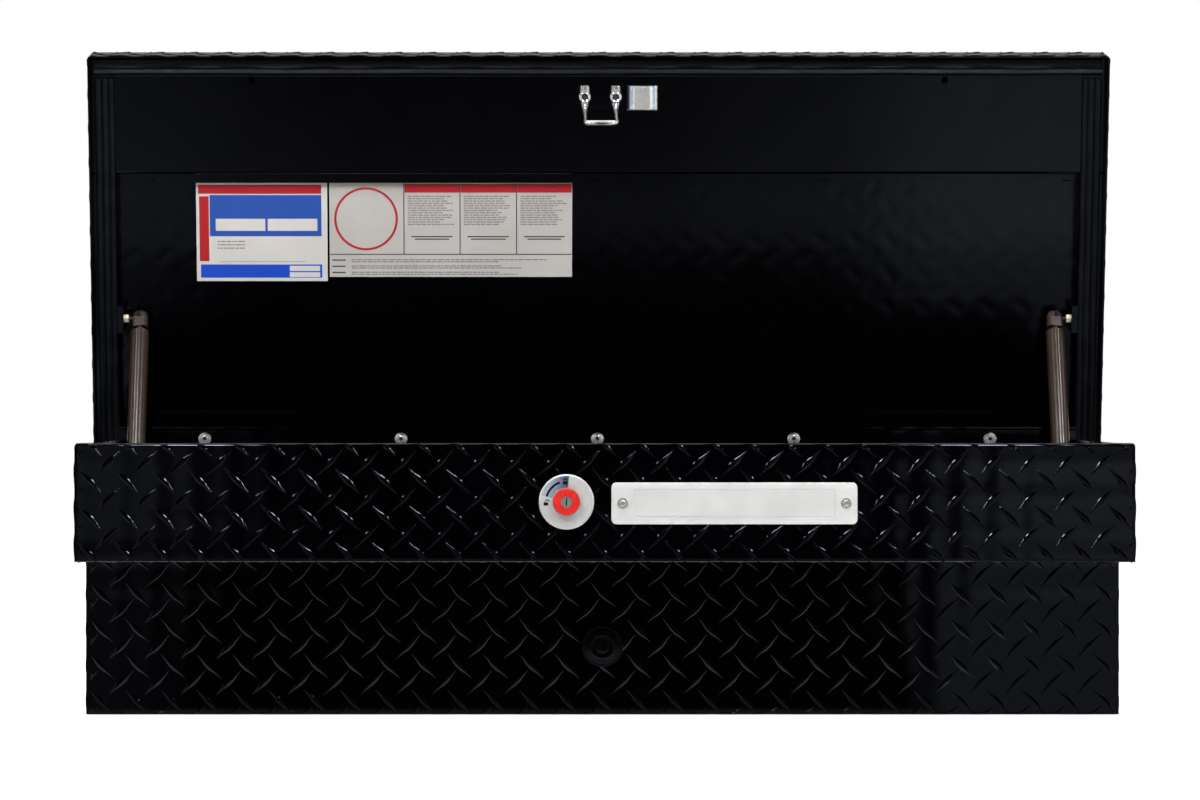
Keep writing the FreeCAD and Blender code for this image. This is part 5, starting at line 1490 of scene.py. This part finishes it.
@dataclass
class CatchPlate:
    """Pressed bright plate: a flat middle, sides rolled down to the panel, eased top and bottom edges; its
    inks paint shade, highlights and a pale-blue reflection on it in stripes.
    """

    across: Pair = (33.9 * MM, 69.7 * MM)
    flat: Pair = (42.2 * MM, 60.6 * MM)
    along: Pair = (404 * MM, 434 * MM)
    crest: float = 14 * MM
    ease: float = 1.8 * MM
    points: int = 49
    # Rows of painted highlight along the bottom edge, and rows of painted shade along the top edge.
    painted_highlight_rows: int = 6
    painted_shade_rows: int = 5
    # Limits across, in millimetres, of the stripes of painted shade, painted reflection and painted highlight
    # round the zinc middle.
    stripes: tuple[float, ...] = (36.6, 40, 42.4, 60.6, 63, 67)

    def build(self) -> None:
        """Height above the panel falls as sqrt(1 - u^2) over each rolled side and each eased edge. The inks
        are painted light: painted shade down the left side and along the top edge, painted highlights along
        the bottom edge and beside the flat middle, and a painted pale-blue reflection on each rolled side.
        """
        spread = np.sin(np.linspace(-math.pi / 2, math.pi / 2, self.points))
        x = np.mean(self.across) + np.ptp(self.across) / 2 * spread[:, None]
        s = np.mean(self.along) + np.ptp(self.along) / 2 * spread[None]
        left = (self.flat[0] - x) / (self.flat[0] - self.across[0])
        right = (x - self.flat[1]) / (self.across[1] - self.flat[1])
        roll = np.sqrt(1 - np.clip(np.maximum(left, right), 0, 1) ** 2)
        near = np.minimum(s - self.along[0], self.along[1] - s)
        edge = np.sqrt(1 - np.clip(1 - near / self.ease, 0, 1) ** 2)
        rise = (LID_PANEL - self.crest) * roll * edge
        plane = np.broadcast_to(x, rise.shape), np.broadcast_to(s, rise.shape)
        spots = LID.place(np.stack([*plane, LID_PANEL - rise], axis=-1))
        base = LID.place(np.stack([*plane, np.full_like(rise, LID_PANEL)], axis=-1))
        shape = Surface().grid(base, flip=True)
        # Only zinc is the plate's own colour; the other inks are painted light: painted shade, blue as a
        # painted reflection and bright as a painted highlight.
        zinc, painted_shade, blue, bright = range(4)
        last = self.points - 1
        painted_shade_start = last - self.painted_shade_rows
        columns = [0, *(int(np.searchsorted(x[:, 0], limit * MM)) for limit in self.stripes), last]
        inks = (painted_shade, blue, bright, zinc, bright, blue, bright)
        for start, end, ink in zip(columns[:-1], columns[1:], inks):
            rows = ((0, self.painted_highlight_rows, bright), (self.painted_highlight_rows, painted_shade_start, ink), (painted_shade_start, last, painted_shade))
            for low, high, row_ink in rows:
                shape.grid(spots[start:end + 1, low:high + 1], ink=row_ink)
        shape.build("catch_plate_pressed", Body.LID, "catch_zinc",
                    [CATCH_ZINC, CATCH_PAINTED_SHADE, CATCH_PAINTED_BLUE_REFLECTION, CATCH_PAINTED_HIGHLIGHT], replaces=("catch_plate",), sharp=50,
                    outward=True)


@dataclass
class Plug:
    """Rubber plug in the tub's front: rounded lip, stepped rings and a sunk middle."""

    profile: tuple[Pair, ...] = (
        (0, -5), (18.6, -5), (19.6, -4), (20, -3), (20.4, -2.1), (19, -2), (19, 0), (23, 0), (23, 0.7),
        (22.6, 1.3), (21.8, 1.7), (21, 1.6), (20.6, 1.2), (20.2, 1.9), (18.8, 2.2), (18.4, 1.8), (18, 2.4),
        (16.4, 2.7), (16, 2.3), (15.6, 2.9), (13, 3.3), (12, 3.4), (11.3, 3.0), (10.7, 1.0), (10.2, -0.8),
        (9.4, -1.0), (8.9, 0.2), (8.2, 0.6), (4, 0.8), (0, 0.8))

    def build(self) -> None:
        """Turns the profile, in millimetres of radius and height, round the plug's axis."""
        box = Extent.of("tub_plug")
        centre = np.array([box.centre[0], Extent.of("tub_wrap").low[1], box.centre[2]])
        shape = Surface().lathe(np.array(self.profile) * MM, centre, FORWARD, steps=72)
        shape.build("tub_plug_rings", Body.BOX, "plug_rubber", [PLUG_RUBBER], replaces=("tub_plug",),
                    sharp=50, outward=True)


@dataclass
class StrutHeads:
    """Upper end of each gas strut: a flat-sided socket with a slit dome, and the lid's hex ball stud."""

    seat: Triple = (544 * MM, 154.6 * MM, 22 * MM)
    lean: float = math.radians(22)
    flat: float = 7.3
    flat_side: float = math.radians(14)
    dome: tuple[Pair, ...] = (
        (9.4, 0), (9.3, 2.0), (8.8, 4.6), (7.6, 6.8), (5.8, 8.3), (3.6, 9.1), (1.4, 9.4))
    shaft: tuple[Pair, ...] = ((1.39, 9.4), (0.2, 9.4), (-11, 9.4))
    foot: tuple[Pair, ...] = ((-11.8, 8.8), (-12, 7.4), (-12, 0))
    turns: int = 72
    neck: tuple[Pair, ...] = ((0, -5), (3, -4), (4.6, -2), (5, 0), (4.6, 2), (3, 4), (1.9, 5), (1.9, 14))
    thread: tuple[Pair, ...] = ((0, 21.3), (3.9, 21.3), (3.9, 26.1), (0, 26.1))
    hexagon: tuple[Pair, ...] = ((0, 13.2), (4.4, 13.2), (5.2, 14), (5.2, 20.6), (4.4, 21.4), (0, 21.4))

    def build(self) -> None:
        """Makes both sides."""
        for (side, word), body in zip(SIDES, (Body.LEFT_TUBE, Body.RIGHT_TUBE)):
            ball = LID.place(np.array([side * self.seat[0], *self.seat[1:]]))
            self.socket(side, word, body, ball)
            self.stud(side, word, ball)

    def socket(self, side: int, word: str, body: Body, ball: np.ndarray) -> None:
        """Turned body, its radius cut to flat / cos(a - flat side) below the dome, slit over the crown.

        Args:
            side: -1 for the left strut, 1 for the right one.
            word: The side in words.
            body: The body that carries it.
            ball: The ball's centre.
        """
        up = np.array([0.0, math.sin(self.lean), math.cos(self.lean)])
        front = np.array([0.0, -math.cos(self.lean), math.sin(self.lean)])
        angle = np.linspace(0, 2 * math.pi, self.turns, endpoint=False)[None]
        known = np.array(self.dome + self.shaft + self.foot)
        dome, foot = (np.array(part)[:, 0] for part in (self.dome, self.foot))
        shaft = np.linspace(dome[-1], self.shaft[-1][0], 24)
        rows = np.concatenate([dome[:-1], shaft, foot])[:, None]
        reach = np.interp(-rows, -known[:, 0], known[:, 1])
        reach[-1] = 0
        chord = self.flat / np.maximum(np.cos(angle - self.flat_side), 0.3)
        flattened = (rows < 1) & (rows > foot[1] + 0.1)
        reach = np.where(flattened, np.minimum(reach, chord), reach)
        slit = 4.5 * np.exp(-((angle - 0.2) / 0.17) ** 4 - ((rows - 5.2) / 4.2) ** 6)
        reach = np.maximum(reach - slit, 0)[..., None] * MM
        spoke = np.cos(angle)[..., None] * front + np.sin(angle)[..., None] * side * ACROSS
        spots = ball + rows[..., None] * MM * up + reach * spoke
        shape = Surface().grid(spots, around=True)
        shape.build(f"{word}_upper_socket_slit", body, f"{word}_upper_end", [STRUT_END],
                    replaces=(f"{word}_upper_socket",), outward=True)

    def stud(self, side: int, word: str, ball: np.ndarray) -> None:
        """Ball, neck, hex and threaded foot, from the socket out to the side block.

        Args:
            side: -1 for the left strut, 1 for the right one.
            word: The side in words.
            ball: The ball's centre.
        """
        shape = Surface()
        for profile, steps, ink in ((self.neck, 24, 1), (self.thread, 24, 0), (self.hexagon, 6, 0)):
            shape.lathe(np.array(profile) * MM, ball, side * ACROSS, steps=steps, ink=ink)
        shape.build(f"{word}_lid_stud_hex", Body.LID, f"{word}_upper_stud_zinc", [STUD_ZINC, STRUT_END],
                    replaces=(f"{word}_lid_ball_stud",), sharp=25, outward=True)


@dataclass(frozen=True)
class Lamp:
    """One soft lamp: where it stands, what it faces, its size and how bright its face is."""

    name: str
    spot: Triple
    aim: Triple
    size: Pair
    radiance: float
    mirrored: bool = False

    def light(self) -> None:
        """Makes the area lamp, of power radiance * pi * area; a mirrored one shows in reflections only."""
        data = bpy.data.lights.new(self.name, "AREA")
        data.shape = "RECTANGLE"
        data.size, data.size_y = self.size
        data.energy = self.radiance * math.pi * self.size[0] * self.size[1]
        lamp = put(self.name, data)
        lamp.location = self.spot
        lamp.rotation_mode = "QUATERNION"
        lamp.rotation_quaternion = (Vector(self.aim) - Vector(self.spot)).to_track_quat("-Z", "Y")
        lamp.visible_camera = False
        lamp.visible_diffuse = not self.mirrored


def upward(name: str, across: Pair, depth: Pair, height: float, tilt: float, radiance: float) -> Lamp:
    """A mirrored panel that lies between two x and two y, facing up with a slight tilt away from the box.

    Args:
        name: The lamp's name.
        across: Its left and right edge.
        depth: Its near and far edge.
        height: Height of its middle.
        tilt: How far its face leans towards the camera, in degrees.
        radiance: Brightness of its face.

    Returns:
        The lamp.
    """
    middle = (float(np.mean(across)), float(np.mean(depth)), height)
    lean = math.radians(tilt)
    aim = (middle[0], middle[1] - math.sin(lean), height + math.cos(lean))
    size = (float(np.ptp(across)), float(np.ptp(depth)) / math.cos(lean))
    return Lamp(name, middle, aim, size, radiance, True)


LAMPS = (
    Lamp("right_softbox", (1.59, -5.0, 1.15), (0.2, -0.2, 0.35), (1.44, 2.6), 0.55),
    Lamp("left_softbox", (-1.5, -5.0, 1.15), (-0.2, -0.2, 0.35), (1.4, 2.6), 0.35),
    Lamp("left_fade", (-1.1, -5.05, 1.15), (-0.2, -0.2, 0.35), (0.9, 2.6), 0.14, True),
    Lamp("overhead_left", (-0.55, -1.14, 1.3), (0.0, -0.25, 0.3), (0.15, 0.2), 160.0),
    Lamp("overhead_right", (0.55, -1.14, 1.3), (0.0, -0.25, 0.3), (0.15, 0.2), 160.0),
    Lamp("overhead_softbox", (0.0, -0.5, 2.7), (0.0, -0.1, 0.3), (2.8, 1.0), 3.5),
    Lamp("top_glow", (0.0, 0.9, 2.4), (0.0, 0.1, 0.7), (2.6, 1.0), 3.0, True),
    Lamp("right_spark", (2.0, -1.6, 2.1), (0.0, -0.2, 0.3), (0.16, 0.16), 220.0),
    Lamp("left_spark", (-2.0, -1.6, 2.1), (0.0, -0.2, 0.3), (0.16, 0.16), 160.0),
    Lamp("rear_left_softbox", (-2.4, 3.6, 1.5), (0.0, 0.1, 0.3), (1.8, 2.0), 3.5),
    Lamp("rear_right_softbox", (2.8, 3.0, 1.3), (0.0, 0.1, 0.3), (1.2, 2.0), 2.0),
    Lamp("left_side_softbox", (-4.2, -0.8, 1.4), (-0.4, 0.0, 0.3), (1.6, 1.8), 3.0),
    Lamp("right_side_softbox", (4.2, -0.6, 1.4), (0.4, 0.0, 0.3), (1.6, 1.8), 3.0),
    Lamp("rear_wall", (0.0, 7.0, 0.9), (0.0, 0.0, 0.6), (10.0, 1.6), 1.0, True),
    Lamp("rear_sky", (0.0, 7.0, 2.7), (0.0, 0.0, 0.6), (10.0, 1.7), 0.4, True),
    upward("foot_glow", (-1.0, 0.42), (-0.34, -0.17), 0.0085, 5.0, 2.0),
    upward("band_glow", (-1.0, 0.42), (-0.85, -0.42), 0.074, 11.5, 1.4),
    upward("lid_glow", (-0.8, 0.85), (-0.76, -0.44), 0.33, -2.0, 0.36),
    upward("channel_glow", (-0.8, 0.85), (-1.3, -0.76), 0.33, -2.0, 0.13),
    upward("left_glow", (-0.8, -0.4), (-1.3, -0.44), 0.335, -2.0, 0.1),
    upward("far_left_glow", (-0.8, -0.52), (-1.3, -0.44), 0.337, -2.0, 0.1),
    upward("right_glow", (0.15, 0.85), (-1.3, -0.44), 0.34, -2.0, 0.2),
    upward("far_right_glow", (0.4, 0.85), (-1.3, -0.44), 0.345, -2.0, 0.1),
)


@dataclass
class Studio:
    """Pale floor, white world, soft lamps and the camera at the photograph's angle."""

    lens: float = 133.5
    sensor: float = 36.0
    eye: Triple = (-0.098, -5.144, 0.353)
    shift: float = 0.0708
    far: float = 200.0
    floor_reach: float = 30.0
    floor_points: int = 13
    floor_sunk: float = 0.2 * MM
    fill: float = 0.35
    mirror_fill: float = 0.015

    def build(self) -> None:
        """Makes the floor, the world, the lamps and the camera."""
        self.floor()
        self.world()
        for lamp in LAMPS:
            lamp.light()
        self.camera()

    def floor(self) -> None:
        """Pale floor: a wide flat sheet a hair below the box's foot."""
        reach = np.linspace(-self.floor_reach, self.floor_reach, self.floor_points)
        x, y = np.meshgrid(reach, reach, indexing="ij")
        spots = np.stack([x, y, np.full_like(x, -self.floor_sunk)], axis=-1)
        floor = put("studio_floor", Surface().grid(spots, flip=True).mesh("studio_floor", [FLOOR_PAPER]))

    def world(self) -> None:
        """White for the camera and through glass, a soft fill for matt surfaces, dark for mirror rays."""
        world = bpy.data.worlds.new("studio")
        bpy.context.scene.world = world
        world.use_nodes = True
        nodes = NodeTree(world.node_tree)
        path = nodes.node("ShaderNodeLightPath").outputs
        seen = nodes.calc("MAXIMUM", path["Is Camera Ray"], path["Is Transmission Ray"])
        fill = nodes.ranged(path["Is Glossy Ray"], self.fill, self.mirror_fill, 0.0, 1.0)
        back = nodes.tree.nodes["Background"]
        nodes.feed(back.inputs["Strength"], nodes.ranged(seen, fill, 1.0, 0.0, 1.0))
        nodes.feed(back.inputs["Color"], (1, 1, 1, 1))

    def camera(self) -> None:
        """Long lens at rim height, level, a little to the left, shifted to frame the box as photographed."""
        data = bpy.data.cameras.new("product_camera")
        data.lens, data.sensor_width = self.lens, self.sensor
        data.shift_x = self.shift
        data.clip_end = self.far
        camera = put("product_camera", data)
        camera.location = self.eye
        camera.rotation_euler = (math.pi / 2, 0, 0)
        bpy.context.scene.camera = camera


def main() -> None:
    """Dresses the frame, builds the pieces in order, and sets the studio round them."""
    logging.basicConfig(level=logging.INFO, format="%(name)s %(message)s")
    bpy.context.scene.view_settings.view_transform = "Standard"
    dress_nodes()
    makers = (TreadSheets(), Nameplate(), HingeRivets(), Cards(), LockFace(), Welds(), Seals(), Striker(),
              CatchPlate(), Plug(), StrutHeads(), Studio())
    for maker in makers:
        maker.build()


if __name__ == "__main__":
    main()
